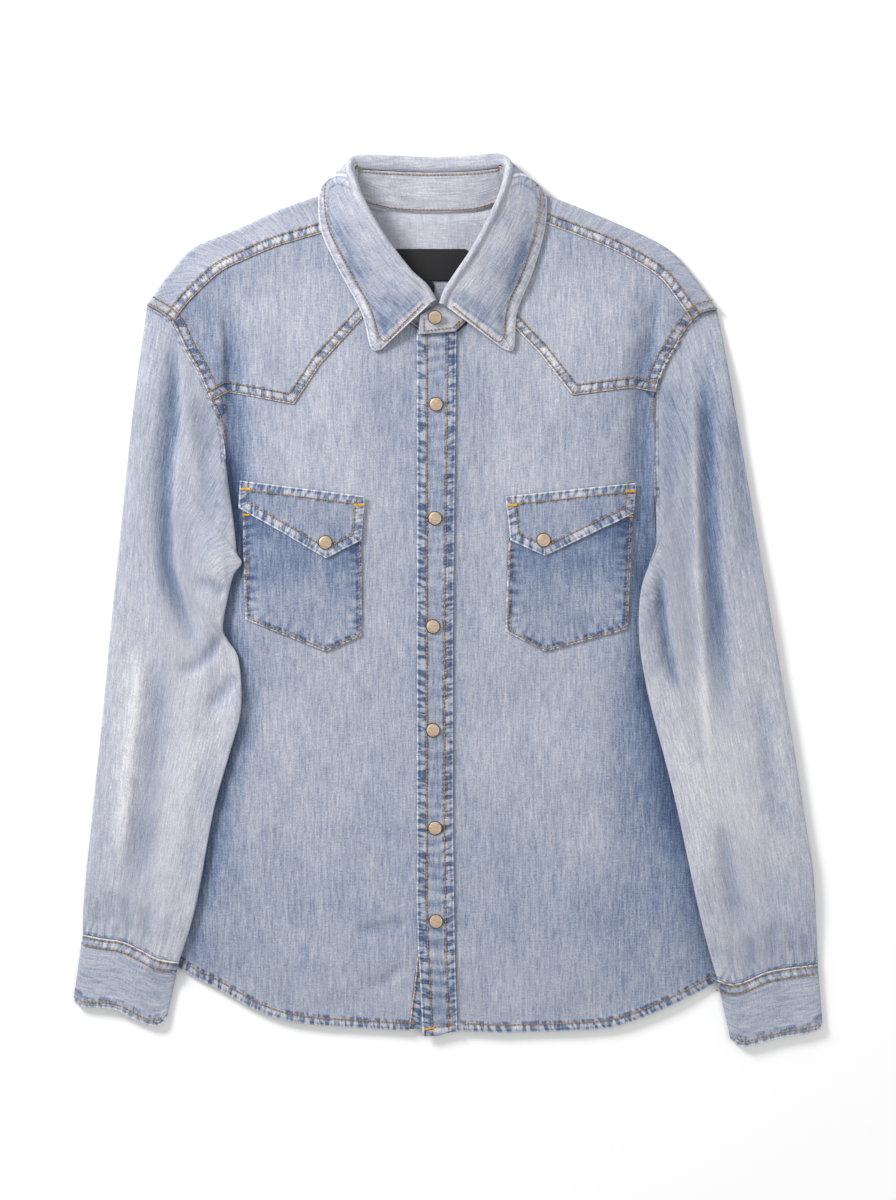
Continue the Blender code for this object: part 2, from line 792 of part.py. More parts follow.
def add_collar_stand():
    sections = collar_sections()
    ends = []
    for neck, _, stand_top, _, _ in sections:
        ends.append((neck, stand_top))
    tabs = [(np.array(neck), np.array(seam)) for neck, seam in (UNDER_TAB_END, OVER_TAB_END)]
    under = [tuple(a + (b - a) * 0.5 for a, b in zip(tabs[0], ends[0]))]
    over = [tuple(a + (b - a) * 0.5 for a, b in zip(ends[-1], tabs[1]))]
    ends = [tabs[0], *under, *ends, *over, tabs[1]]
    points = []
    for neck, top in ends:
        points += [neck + (top - neck) * share for share in (0, 0.5, 1)]
    return add_sheet("collar_stand", points, grid_faces(len(ends), 3), COLLAR_WALL, 0, denim)


def add_plackets():
    rows = np.linspace(0, 1, 20)
    columns = (0, 0.5, 1)
    for name, left, right, lift, bottom in (
        ("placket", PLACKET_LEFT, PLACKET_RIGHT, PLACKET_LIFT, PLACKET_BOTTOM_Y),
        ("under_placket", UNDER_PLACKET_LEFT, PLACKET_RIGHT, -WALL, UNDER_PLACKET_BOTTOM_Y),
    ):
        margin = UNDER_PLACKET_MARGIN if name == "under_placket" else 0.0
        plan = panel_points(
            lambda y: x_at(left, y),
            lambda y: x_at(right, y) - margin,
            lambda x: bottom if x < PLACKET_STEP_X else bottom + PLACKET_STEP,
            lambda x: PLACKET_TOP_Y,
            columns,
            rows,
        )
        lifted = lambda x, y: body_top(x, y) + lift
        add_panel(name, plan, (len(rows), len(columns)), lifted, WALL, 1, denim)


def add_patch(name, patch, lift, rows):
    plan = panel_points(
        lambda y: x_at(patch.left, y),
        lambda y: x_at(patch.right, y),
        lambda x: y_at(patch.bottom, x),
        lambda x: y_at(patch.top, x),
        patch.columns,
        np.linspace(0, 1, rows),
    )
    lifted = lambda x, y: body_top(x, y) + lift
    return add_panel(name, plan, (rows, len(patch.columns)), lifted, WALL, 1, denim)


def add_label(name, left, right, bottom, top):
    rim = ((left, bottom), (right, bottom), (left, top), (right, top))
    points = [(x, y, WALL + STACK_GAP) for x, y in rim]
    return add_sheet(name, points, [(0, 1, 3, 2)], LABEL_WALL, 1, label_cloth)


def add_snap(name, x, y, z, tilt=0.0):
    """A snap cap: a shallow domed disc."""
    bpy.ops.mesh.primitive_cylinder_add(
        vertices=20,
        radius=SNAP_RADIUS * MM,
        depth=SNAP_HEIGHT * MM,
        location=(x * MM, y * MM, (z + SNAP_HEIGHT / 2) * MM),
        rotation=(tilt, 0, 0),
    )
    cap = bpy.context.object
    cap.name = name
    cap.data.name = name
    cap.data.materials.append(brass)
    dome = cap.modifiers.new("rounded_rim", "BEVEL")
    dome.width = SNAP_RIM * MM
    dome.segments = 1
    dome.limit_method = "ANGLE"
    cap.data.shade_smooth()
    for collection in list(cap.users_collection):
        collection.objects.unlink(cap)
    shirt.objects.link(cap)
    return cap


for item in list(bpy.data.objects):
    bpy.data.objects.remove(item)

shirt = bpy.data.collections.new("denim_shirt")
bpy.context.scene.collection.children.link(shirt)
denim = make_material("denim", (0.36, 0.41, 0.53), 0.9)
sleeve_denim = make_material("sleeve_denim", (0.30, 0.35, 0.47), 0.9)
label_cloth = make_material("label_cloth", (0.012, 0.012, 0.015), 0.8)
brass = make_material("brass", (0.50, 0.37, 0.24), 0.35, 1.0)

add_back()
add_fronts()
add_front_yokes()
add_back_yoke()
add_sleeve("sleeve_right", SLEEVE_OUTER_RIGHT, SLEEVE_INNER_RIGHT, SIDE_RIGHT, CUFF_TOP_RIGHT, ARMPIT_RIGHT_Y)
add_sleeve("sleeve_left", SLEEVE_OUTER_LEFT, SLEEVE_INNER_LEFT, SIDE_LEFT, CUFF_TOP_LEFT, ARMPIT_LEFT_Y)
add_cuff("cuff_right", CUFF_TOP_RIGHT, CUFF_BOTTOM_RIGHT)
add_cuff("cuff_left", CUFF_TOP_LEFT, CUFF_BOTTOM_LEFT)
add_collar_stand()
add_collar_leaf()
add_plackets()
add_patch("pocket_right", POCKET_RIGHT, POCKET_LIFT, 8)
add_patch("pocket_left", POCKET_LEFT, POCKET_LIFT, 8)
add_patch("flap_right", FLAP_RIGHT, FLAP_LIFT, 5)
add_patch("flap_left", FLAP_LEFT, FLAP_LIFT, 5)
add_label("neck_label", -48.5, 18.3, 277.8, 305.7)
add_label("size_tab", -21.0, -12.0, 268.0, 277.4)
snap_lifts = {
    "placket": PLACKET_LIFT + WALL + STACK_GAP,
    "flap": FLAP_LIFT + WALL + STACK_GAP,
}
for snap in SNAPS:
    add_snap(snap.name, snap.x, snap.y, body_top(snap.x, snap.y) + snap_lifts[snap.lift])
add_snap("snap_collar", *COLLAR_SNAP, COLLAR_SNAP_TILT)
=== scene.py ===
"""Light washed denim western shirt, laid flat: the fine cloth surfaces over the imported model.

Tables are in millimetres in the frame of the model: +Y to the collar, +Z up, wearer's right -X.
"""

from collections import namedtuple

import bpy
import numpy as np
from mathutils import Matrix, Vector


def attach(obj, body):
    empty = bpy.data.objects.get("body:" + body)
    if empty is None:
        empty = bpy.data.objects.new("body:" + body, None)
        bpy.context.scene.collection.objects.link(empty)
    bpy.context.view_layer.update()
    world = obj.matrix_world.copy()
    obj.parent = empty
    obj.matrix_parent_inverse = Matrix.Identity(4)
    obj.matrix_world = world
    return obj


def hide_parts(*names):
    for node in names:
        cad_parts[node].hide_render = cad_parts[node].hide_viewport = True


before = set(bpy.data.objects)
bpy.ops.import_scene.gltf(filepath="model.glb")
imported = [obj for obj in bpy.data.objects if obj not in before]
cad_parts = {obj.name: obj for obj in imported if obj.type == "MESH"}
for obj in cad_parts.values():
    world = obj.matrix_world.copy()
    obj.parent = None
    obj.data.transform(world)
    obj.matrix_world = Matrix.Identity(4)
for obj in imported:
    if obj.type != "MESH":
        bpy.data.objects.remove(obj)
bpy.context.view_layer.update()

MM = 0.001
WALL = 1.1
BACK_WALL = 1.2
CUFF_WALL = 1.4
COLLAR_WALL = 1.3
LABEL_WALL = 0.5
PATCH_LIFT = 0.5
FLAP_LIFT = 2.0
PLACKET_LIFT = 0.7
SIDE_EDGE_TOP = 3.0
ARMHOLE_EDGE_TOP = 6.0
PLATEAU_TOP = 9.0
SIDE_RUN = 46.0
HEM_RUN = 60.0
FOLD_HEIGHT = 6.0
BACK_SEAM_Y = 205.0
SLEEVE_HEIGHT = 10.5
CUFF_HEIGHT = 6.5
SUPPORT_RUN = 22.0
ROLL_RADIUS = 2.4
FRONT_STEP = 2.4
FRONT_ROWS = 250
YOKE_ROWS = 64
YOKE_OVERLAP = 0.9
WING_COLUMNS = 90
WING_FLOOR_ROWS = 17
WING_BEND_ROWS = 11
WING_TOP_ROWS = 16
SLEEVE_ROWS = 230
HEM_STITCH_INSET = 6.6
HEM_STITCH_LIFT = 0.45

Point = namedtuple("Point", "x y")
Crease = namedtuple("Crease", "places width depth lean")
Zone = namedtuple("Zone", "x y reach_x reach_y tone")
Station = namedtuple("Station", "neck roll edge turn drop")
Patch = namedtuple("Patch", "left right bottom top")
Snap = namedtuple("Snap", "x y lift")


def plan_line(*places):
    """A line of plan points, each written as its x and y."""
    return tuple(Point(*place) for place in places)


# ---------------------------------------------------------------- outlines

SIDE_RIGHT = plan_line(
    (-246, -307), (-231, -200), (-216, -100), (-203, 0), (-197, 60), (-194, 115), (-198, 153),
    (-206, 173), (-215, 195), (-228, 218), (-239, 240), (-248, 249), (-262, 257),
)
SIDE_LEFT = plan_line(
    (243, -322), (220, -200), (204, -100), (190, 0), (184, 50), (181, 77), (180, 139), (180, 173.5),
    (182, 188), (188, 205), (201, 227), (211, 241), (219, 249), (234, 253),
)
ARMPIT_RIGHT_Y = 115.0
ARMPIT_LEFT_Y = 77.0
BAND_END_RIGHT_Y = 166.0
BAND_END_LEFT_Y = 184.0
HEM = plan_line(
    (-246, -307), (-233, -321), (-204, -336), (-164, -358), (-129, -368), (-79, -372), (-24, -375),
    (13, -375), (54, -376), (132, -373), (167, -364), (204, -348), (234, -332), (243, -322),
)
YOKE_SEAM_RIGHT = plan_line(
    (-206, 173), (-192, 181), (-134, 170), (-111, 205), (-73, 247), (-56, 265), (-52, 259),
    (-36, 242), (-25, 235),
)
YOKE_SEAM_LEFT = plan_line(
    (8, 233), (18, 241), (32, 260), (34, 264), (59, 236), (80, 214), (108, 178), (161, 185),
    (180, 181),
)
YOKE_NECK_RIGHT = plan_line((-56, 265), (-72, 291), (-87, 322), (-90, 327))
YOKE_NECK_LEFT = plan_line((34, 264), (48, 291), (65, 322), (68, 333))
FOLD_RIGHT = plan_line(
    (-94, 357), (-110, 352), (-147, 339), (-184, 322), (-216, 309), (-229, 299), (-245, 280),
    (-261.6, 257.3),
)
SHOULDER_SEAM_RIGHT = plan_line(
    (-90, 327), (-110, 319), (-147, 308), (-176, 296), (-198, 285), (-219, 266), (-230, 254),
    (-238.4, 242.5),
)
FOLD_LEFT = plan_line(
    (69, 359), (83, 353), (114, 341), (145, 328), (172, 316), (194, 303), (212, 283),
    (233.6, 253.4),
)
SHOULDER_SEAM_LEFT = plan_line(
    (68, 333), (83, 328), (112, 317), (140, 306), (165, 293), (184, 280), (197, 264),
    (211.6, 243.5),
)
BACK_NECK = plan_line(
    (-87, 351), (-73, 343.5), (-45, 337.6), (-9, 336.2), (22, 337.4), (43, 343.5), (58, 351),
)
SLEEVE_OUTER_RIGHT = plan_line(
    (-262, 257), (-274, 165), (-283, 78), (-292, -9), (-300, -96), (-309, -183), (-317, -262),
    (-318, -291),
)
SLEEVE_INNER_RIGHT = plan_line(
    (-194, 115), (-188, 81), (-184.5, 52), (-183.5, 41), (-179.2, 32), (-186, 22), (-191, 3),
    (-195.5, -24), (-191, -35), (-182, -50), (-179, -80), (-181, -104), (-190, -135), (-204, -186),
    (-219, -266), (-234, -315),
)
SLEEVE_OUTER_LEFT = plan_line(
    (234, 253), (241, 217), (253, 148), (265, 78), (277, 9), (289, -61), (301, -130), (312, -200),
    (318, -240), (322, -317),
)
SLEEVE_INNER_LEFT = plan_line(
    (181, 77), (180, 38), (170, 18), (166, -5), (166, -36), (171, -69), (178, -100), (197, -173),
    (219, -275), (234, -330),
)
CUFF_TOP_RIGHT = plan_line(
    (-318, -291), (-301, -294.5), (-284, -297), (-268, -304), (-252, -312), (-234, -315),
)
CUFF_BOTTOM_RIGHT = plan_line(
    (-326, -347), (-323, -352), (-316, -354), (-291, -356), (-274, -364), (-260, -370),
    (-250, -370), (-244.5, -363),
)
CUFF_TOP_LEFT = plan_line(
    (322, -317), (296, -320), (276, -324), (260, -331), (246, -334), (234, -330),
)
CUFF_BOTTOM_LEFT = plan_line(
    (326, -369), (323, -374), (313, -377), (289, -381), (262, -388), (253, -388), (246, -383),
)
COLLAR = (
    Station((-26, 236.5, 8.6), (-12.5, 258.5, 21.0), (-58, 217.5, 11.4), 90, 5.0),
    Station((-36, 244.0, 9.0), (-20, 271, 23.0), (-67, 219, 11.4), 90, 3.0),
    Station((-52, 262.0, 9.4), (-34, 284, 25.0), (-75, 249, 11.4), 90, 3.0),
    Station((-70, 291.0, 9.2), (-54, 310, 26.0), (-95, 287, 11.4), 90, 3.0),
    Station((-85, 322.0, 8.6), (-72, 340, 26.0), (-110, 320, 10.8), 90, 3.0),
    Station((-90, 345.0, 7.6), (-82, 362, 23.0), (-112, 351, 9.6), 80, 4.0),
    Station((-87, 353.5, 6.0), (-87, 377, 17.0), (-106, 364, 5.4), 55, 6.0),
    Station((-74, 345.5, 2.8), (-80, 386, 9.6), (-90, 368, 1.0), 14, 9.0),
    Station((-45, 338.8, 1.5), (-52, 386.3, 5.4), (-56, 350, 0.8), 3, 10.5),
    Station((-9, 337.4, 1.5), (-14, 385, 4.4), (-12, 348, 0.8), 0, 10.5),
    Station((22, 338.6, 1.5), (22, 386.3, 5.4), (24, 350, 0.8), 3, 10.5),
    Station((44, 345.5, 2.8), (46, 387, 9.6), (58, 368, 1.0), 14, 9.0),
    Station((59, 353.5, 6.0), (54, 378, 17.0), (75, 364, 5.4), 55, 6.0),
    Station((65, 345.0, 7.6), (51, 363, 23.0), (85, 351, 9.6), 80, 4.0),
    Station((62, 322.0, 8.6), (43, 342, 26.0), (84, 322, 10.8), 90, 3.0),
    Station((46, 291.0, 9.2), (24, 305, 26.0), (73, 283, 11.4), 90, 3.0),
    Station((30, 262.0, 9.4), (8, 281, 25.0), (60, 250, 11.4), 90, 3.0),
    Station((17, 244.0, 9.8), (-1, 267, 23.0), (57, 218, 11.4), 90, 3.0),
    Station((6, 233.0, 13.4), (-5, 256, 21.0), (46, 219.5, 11.6), 90, 3.0),
)
UNDER_TAB_END = ((5, 237.0, 9.0), (5, 252, 12.4))
OVER_TAB_END = ((-26, 230.5, 13.6), (-24, 247, 17.0))
PLACKET_LEFT = plan_line((-22, -379), (-24, -340), (-27, -280), (-27, 230))
PLACKET_RIGHT = plan_line((8.5, -380), (6, -300), (4.5, -200), (4.5, -20), (7.4, 230))
UNDER_PLACKET_LEFT = plan_line((-35, -380), (-26, -303), (-24.5, -260), (-24.5, 230))
PLACKET_TOP_Y = 236.0

POCKET_RIGHT = Patch(
    left=plan_line((-176, -17), (-179, 87)),
    right=plan_line((-75, -31), (-75, 75)),
    bottom=plan_line((-176, -17), (-106, -45), (-75, -31)),
    top=plan_line((-179, 87), (-75, 76)),
)
FLAP_RIGHT = Patch(
    left=plan_line((-182, 80), (-181.5, 104)),
    right=plan_line((-75, 52), (-72, 90)),
    bottom=plan_line((-182, 80), (-150, 62), (-106, 36), (-75, 52)),
    top=plan_line((-181.5, 104), (-72, 90)),
)
POCKET_LEFT = Patch(
    left=plan_line((50, -27), (53.5, 75)),
    right=plan_line((156, -25), (161, 86)),
    bottom=plan_line((50, -27), (84, -45), (156, -25)),
    top=plan_line((53.5, 76), (161, 86)),
)
FLAP_LEFT = Patch(
    left=plan_line((54, 52), (50, 90)),
    right=plan_line((161, 75), (164, 102)),
    bottom=plan_line((54, 52), (84, 38), (161, 75)),
    top=plan_line((50, 90), (164, 102)),
)
SNAPS = (
    Snap(-10.4, 170, "placket"),
    Snap(-11.3, 71, "placket"),
    Snap(-13.0, -23, "placket"),
    Snap(-13.0, -113, "placket"),
    Snap(-11.3, -198, "placket"),
    Snap(-10.4, -279, "placket"),
    Snap(-106.5, 50, "flap"),
    Snap(83.0, 52, "flap"),
)
COLLAR_SNAP = (-11.3, 245.0, 17.6)
COLLAR_SNAP_TILT = 0.21

# ---------------------------------------------------------------- creases
# places is the fold's line, width its half width and depth how far it sinks (minus for a ridge).
# lean makes one bank steeper: positive steepens the bank on the left of the line's direction.

BODY_CREASES = (
    Crease(((-196, 268), (-191, 215), (-190, 168), (-189, 120), (-188, 60), (-188, -20)), 9, 6.0, -0.55),
    Crease(((-186, -10), (-196, -90), (-208, -180)), 12, 2.4, 0.2),
    Crease(((-160, 262), (-156, 200), (-158, 150)), 13, -1.0, 0.0),
    Crease(((184, 276), (178, 232), (175, 190), (173, 120), (171, 40), (163, -30)), 10, 5.6, 0.4),
    Crease(((166, -30), (172, -80), (186, -150), (205, -250)), 16, 2.6, -0.2),
    Crease(((150, -60), (156, -150), (176, -260)), 18, 1.2, 0.0),
    Crease(((120, -90), (126, -180), (140, -300)), 22, -0.9, 0.0),
    Crease(((-150, -70), (-158, -160), (-176, -270)), 20, -0.9, 0.0),
    Crease(((-188, -100), (-205, -200), (-222, -290)), 16, 1.5, 0.0),
    Crease(((-82, -289), (-60, -284), (-27, -279)), 5, 1.8, 0.3),
    Crease(((-72, -339), (-52, -330), (-33, -315)), 5, 1.6, -0.3),
    Crease(((-50, 215), (-48, 150), (-55, 90)), 12, 1.0, 0.0),
    Crease(((-30, 214), (-34, 170), (-33, 120)), 7, 0.8, 0.0),
    Crease(((30, 210), (34, 150), (31, 90)), 11, 0.9, 0.0),
    Crease(((-130, -70), (-110, -58), (-84, -62)), 9, 0.6, 0.0),
    Crease(((60, -70), (90, -66), (140, -52)), 9, 0.6, 0.0),
    Crease(((-120, 150), (-90, 128), (-66, 120)), 12, 0.6, 0.0),
    Crease(((110, 150), (90, 130), (60, 118)), 12, 0.6, 0.0),
    Crease(((-215, 262), (-196, 246), (-170, 240)), 9, 0.9, 0.0),
    Crease(((190, 262), (172, 246), (150, 240)), 9, 0.9, 0.0),
    Crease(((-70, -110), (-66, -190), (-80, -260)), 26, 0.7, 0.0),
    Crease(((60, -120), (52, -210), (60, -300)), 26, 0.7, 0.0),
)
SLEEVE_CREASES = (
    Crease(
        ((-241, 240), (-237, 208), (-238, 155), (-243, 110), (-242, 35), (-230, -10), (-218, -40),
         (-212, -66)),
        7, 5.6, 0.4,
    ),
    Crease(((-222, 190), (-214, 140), (-207, 90), (-203, 40)), 10, 2.4, -0.3),
    Crease(((-264, -30), (-272, -110), (-280, -190), (-288, -262)), 6, -2.4, 0.3),
    Crease(((-252, -40), (-252, -110), (-262, -190), (-268, -270)), 11, 2.8, 0.0),
    Crease(((-195, -27), (-205, -46), (-222, -60), (-238, -64)), 5, 3.2, 0.3),
    Crease(((-192, 4), (-206, 14), (-222, 16)), 6, 2.4, -0.2),
    Crease(((-183, -62), (-196, -82), (-212, -96)), 6, 2.2, 0.0),
    Crease(((-206, -130), (-214, -180), (-228, -250)), 9, 1.2, 0.0),
    Crease(((-290, -282), (-294, -250)), 4, 1.6, 0.0),
    Crease(((-276, -292), (-282, -256)), 4, 1.5, 0.0),
    Crease(((-262, -298), (-262, -262)), 4, 1.3, 0.0),
    Crease(((-304, -284), (-304, -258)), 4, 1.2, 0.0),
    Crease(((-246, -305), (-242, -274)), 5, 1.0, 0.0),
    Crease(((209, 238), (213, 170), (216, 35), (225, -115), (230, -182)), 4.5, -3.2, -0.4),
    Crease(((220, 225), (225, 160), (230, 60), (237, -40), (247, -131)), 11, 5.2, 0.3),
    Crease(((183, 28), (187, -10), (191, -42), (200, -76), (206, -92)), 4.5, 5.0, 0.3),
    Crease(((170, 14), (178, -8), (176, -40)), 6, 1.4, 0.0),
    Crease(((196, 200), (194, 120), (192, 60)), 9, 2.2, 0.0),
    Crease(((250, 170), (258, 90), (268, 20)), 9, 2.2, 0.0),
    Crease(((268, -60), (280, -140), (296, -230)), 10, 2.4, 0.0),
    Crease(((238, -190), (246, -240), (258, -290)), 9, 2.4, 0.0),
    Crease(((300, -308), (296, -278)), 4, 1.6, 0.0),
    Crease(((284, -314), (280, -280)), 4, 1.6, 0.0),
    Crease(((268, -320), (262, -290)), 4, 1.4, 0.0),
    Crease(((312, -310), (310, -288)), 4, 1.2, 0.0),
    Crease(((250, -326), (244, -300)), 4, 1.2, 0.0),
)
COLLAR_CREASES = (
    Crease(((-93, 272), (-80, 247), (-68, 228)), 5, 1.2, 0.0),
    Crease(((-58, 262), (-40, 254)), 7, 1.2, 0.0),
    Crease(((-58, 246), (-52, 234)), 4, 0.9, 0.0),
    Crease(((44, 248), (52, 236)), 4, 1.0, 0.0),
    Crease(((24, 262), (40, 244)), 6, 0.8, 0.0),
    Crease(((-94, 330), (-84, 300), (-66, 268)), 8, 0.8, 0.0),
    Crease(((68, 320), (62, 286), (46, 254)), 8, 0.8, 0.0),
)

# Washed zones, and painted shade on the body's sides: tone is added at the centre and fades out at the reach
WASH_AND_SHADE_ZONES = (
    Zone(-110, 120, 60, 90, 0.16),
    Zone(60, 130, 70, 110, 0.14),
    Zone(-100, -150, 70, 150, 0.10),
    Zone(70, -150, 80, 150, 0.12),
    # Painted shade: these two dark zones on the body's sides stand for the sleeves' shadow.
    Zone(-215, 0, 40, 300, -0.20),
    Zone(190, -150, 50, 170, -0.18),
    Zone(100, -260, 80, 90, -0.08),
    Zone(-95, -260, 60, 70, -0.05),
    Zone(-140, 250, 60, 50, 0.14),
    Zone(110, 250, 60, 50, 0.14),
    Zone(-60, -350, 140, 40, 0.04),
    Zone(110, -350, 120, 40, 0.05),
    Zone(-10, 100, 24, 300, -0.06),
)


# ---------------------------------------------------------------- curves and fields


def smooth(t):
    """0 below 0, 1 above 1, and an S curve between."""
    t = np.clip(t, 0.0, 1.0)
    return t * t * (3 - 2 * t)


def spline(points, count):
    """Catmull-Rom through the rows of points, as count rows."""
    points = np.array(points, float)
    last = len(points) - 1
    t = np.linspace(0, last, count)
    start = np.minimum(t.astype(int), last - 1)
    u = (t - start)[:, None]
    before = points[np.maximum(start - 1, 0)]
    first = points[start]
    second = points[start + 1]
    after = points[np.minimum(start + 2, last)]
    curve = 2 * first + (second - before) * u
    curve += (2 * before - 5 * first + 4 * second - after) * u**2
    curve += (3 * first - before - 3 * second + after) * u**3
    return curve / 2


def run_along(points):
    """Distance from the first row of points to each."""
    return np.concatenate([[0.0], np.cumsum(np.linalg.norm(np.diff(points, axis=0), axis=1))])


def evenly(points, count):
    """A polyline resampled to count rows at even spacing."""
    points = np.array(points, float)
    length = run_along(points)
    places = np.linspace(0, length[-1], count)
    return np.stack([np.interp(places, length, column) for column in points.T], axis=1)


def curve_of(points, count=160):
    """An even smooth curve through a table's points."""
    return evenly(spline(points, 40 * len(points)), count)


def x_at(curve, y):
    """A plan curve's x at y."""
    curve = np.array(curve, float)
    order = np.argsort(curve[:, 1])
    return np.interp(y, curve[order, 1], curve[order, 0])


def y_at(curve, x):
    """A plan curve's y at x."""
    curve = np.array(curve, float)
    order = np.argsort(curve[:, 0])
    return np.interp(x, curve[order, 0], curve[order, 1])


def hash_noise(i, j, seed):
    """Repeatable pseudo-random values from 0 to 1 at whole numbers."""
    value = np.sin(i * 127.1 + j * 311.7 + seed * 74.7) * 43758.5453
    return value - np.floor(value)


def noise_2d(x, y, scale, seed):
    """Smooth value noise from -1 to 1."""
    x, y = x / scale, y / scale
    i, j = np.floor(x), np.floor(y)
    u, v = smooth(x - i), smooth(y - j)
    low = hash_noise(i, j, seed) * (1 - u) + hash_noise(i + 1, j, seed) * u
    high = hash_noise(i, j + 1, seed) * (1 - u) + hash_noise(i + 1, j + 1, seed) * u
    return 2 * (low * (1 - v) + high * v) - 1


def ripple(run, period, seed):
    """Uneven puckers along a seam, from -1 to 1."""
    wander = noise_2d(run, run * 0 + seed, period * 2.2, seed) * period * 0.55
    size = 0.65 + 0.35 * noise_2d(run, run * 0 + seed, period * 1.7, seed + 3)
    return np.sin((run + wander) * 2 * np.pi / period) * size


def distance_to(curve, x, y):
    """(distance, run along it, side) from a plan curve for each point."""
    curve = np.array(curve, float)
    best = np.full(np.shape(x), 1e9)
    run = np.zeros(np.shape(x))
    side = np.zeros(np.shape(x))
    start_run = 0.0
    for (x0, y0), (x1, y1) in zip(curve, curve[1:]):
        dx, dy = x1 - x0, y1 - y0
        length = np.hypot(dx, dy)
        if length < 1e-6:
            continue
        along = np.clip(((x - x0) * dx + (y - y0) * dy) / length**2, 0, 1)
        gap = np.hypot(x - x0 - along * dx, y - y0 - along * dy)
        nearer = gap < best
        best = np.where(nearer, gap, best)
        run = np.where(nearer, start_run + along * length, run)
        side = np.where(nearer, np.sign((x - x0) * dy - (y - y0) * dx), side)
        start_run += length
    return best, run, side, start_run


def crease_field(creases, x, y):
    """How far the creases of a table sink the cloth."""
    depth = np.zeros(np.shape(x))
    for seed, crease in enumerate(creases):
        line = spline(crease.places, 6 * len(crease.places))
        gap, run, side, length = distance_to(line, x, y)
        ends = smooth(run / (0.22 * length)) * smooth((length - run) / (0.3 * length))
        uneven = 0.85 + 0.3 * hash_noise(np.floor(run / 30), 0 * run, seed)
        width = crease.width * (1 + crease.lean * side) * uneven
        width = np.maximum(width, 2.2)
        depth += crease.depth * ends * np.exp(-((gap / width) ** 2))
    return depth


side_right = curve_of(SIDE_RIGHT)
side_left = curve_of(SIDE_LEFT)
hem_curve = curve_of(HEM)


def body_top(x, y):
    """Height of the fronts' outer face."""
    right, left = x_at(side_right, y), x_at(side_left, y)
    armpit = np.where(x - right < left - x, ARMPIT_RIGHT_Y, ARMPIT_LEFT_Y)
    inside = np.minimum(x - right, left - x)
    edge = SIDE_EDGE_TOP + (ARMHOLE_EDGE_TOP - SIDE_EDGE_TOP) * smooth((y - armpit) / 50)
    above_hem = y - y_at(hem_curve, x)
    rise = smooth((inside + 4) / SIDE_RUN) * (0.5 + 0.5 * smooth(above_hem / HEM_RUN))
    top = edge + (PLATEAU_TOP - edge) * rise
    soft = 0.55 * noise_2d(x, y * 0.6, 46, 1) + 0.28 * noise_2d(x, y * 0.7, 21, 2)
    soft += 0.10 * noise_2d(x, y, 9, 3)
    sink = crease_field(BODY_CREASES, x, y) - soft
    return np.maximum(top - sink * smooth(inside / 9), SIDE_EDGE_TOP - 0.2)


def sleeve_base(x, y):
    """Height a sleeve or cuff rests on: the floor, or the body's side where it covers it."""
    right, left = x_at(side_right, y), x_at(side_left, y)
    outside = np.maximum(np.maximum(right - x, x - left), np.maximum(y_at(hem_curve, x) - y, 0))
    armpit = np.where(x < 0, ARMPIT_RIGHT_Y, ARMPIT_LEFT_Y)
    below = smooth((armpit + 18 - y) / 16)
    return (body_top(x, y) + 0.5) * below * (1 - smooth(outside / SUPPORT_RUN))


# ---------------------------------------------------------------- meshes


def new_object(name, points, faces, uvs, fields, material):
    """A mesh from millimetre points. uvs are metres per face corner, fields are per point."""
    mesh = bpy.data.meshes.new(name)
    mesh.vertices.add(len(points))
    mesh.vertices.foreach_set("co", (np.asarray(points, float) * MM).ravel())
    mesh.loops.add(len(faces) * 4)
    mesh.loops.foreach_set("vertex_index", faces.ravel())
    mesh.polygons.add(len(faces))
    mesh.polygons.foreach_set("loop_start", np.arange(len(faces)) * 4)
    mesh.polygons.foreach_set("loop_total", np.full(len(faces), 4))
    mesh.update(calc_edges=True)
    layer = mesh.uv_layers.new(name="grain")
    layer.data.foreach_set("uv", uvs.ravel())
    for field, values in fields.items():
        attribute = mesh.attributes.new(field, "FLOAT", "POINT")
        attribute.data.foreach_set("value", np.asarray(values, float).ravel())
    mesh.materials.append(material)
    mesh.shade_smooth()
    piece = bpy.data.objects.new(name, mesh)
    bpy.context.scene.collection.objects.link(piece)
    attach(piece, "root")
    return piece


def add_wall(piece, wall, offset):
    thicken = piece.modifiers.new("wall", "SOLIDIFY")
    thicken.thickness = wall * MM
    thicken.offset = offset


def register(name):
    """Hide the imported part that this piece stands in for."""
    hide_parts(name)


def grid_piece(
    name, place, uv, fields, material, wall=WALL, offset=-1.0, around=None, flip=False
):
    """A sheet from the grids x, y and z, thickened by Solidify. Its fields are tone, edge and run.

    uv is the grain in metres, or None where it is the plan itself. A tube's columns close on
    themselves, and around is then the grain axis that runs round it.
    """
    points = np.stack(place, axis=-1)
    uv = points[..., :2] * MM if uv is None else uv
    rows, columns = points.shape[:2]
    closed = around is not None
    spans = np.arange(columns if closed else columns - 1)
    row, column = np.meshgrid(np.arange(rows - 1), spans, indexing="ij")
    after = (column + 1) % columns
    corners = [(row, column), (row, after), (row + 1, after), (row + 1, column)]
    if flip:
        corners = corners[::-1]
    faces = np.stack([r * columns + c for r, c in corners], axis=-1).reshape(-1, 4)
    uvs = np.stack([uv[r, c] for r, c in corners], axis=-2).reshape(-1, 4, 2)
    if closed:
        turn = uvs[..., around]
        wrap = uv[:, -1, around].max() * columns / (columns - 1)
        spread = turn.max(axis=1) - turn.min(axis=1) > wrap / 2
        uvs[..., around] = np.where(spread[:, None] & (turn < wrap / 2), turn + wrap, turn)
    named = dict(zip(("tone", "edge", "run"), fields))
    piece = new_object(name + "_cloth", points.reshape(-1, 3), faces, uvs, named, material)
    add_wall(piece, wall, offset)
    register(name)


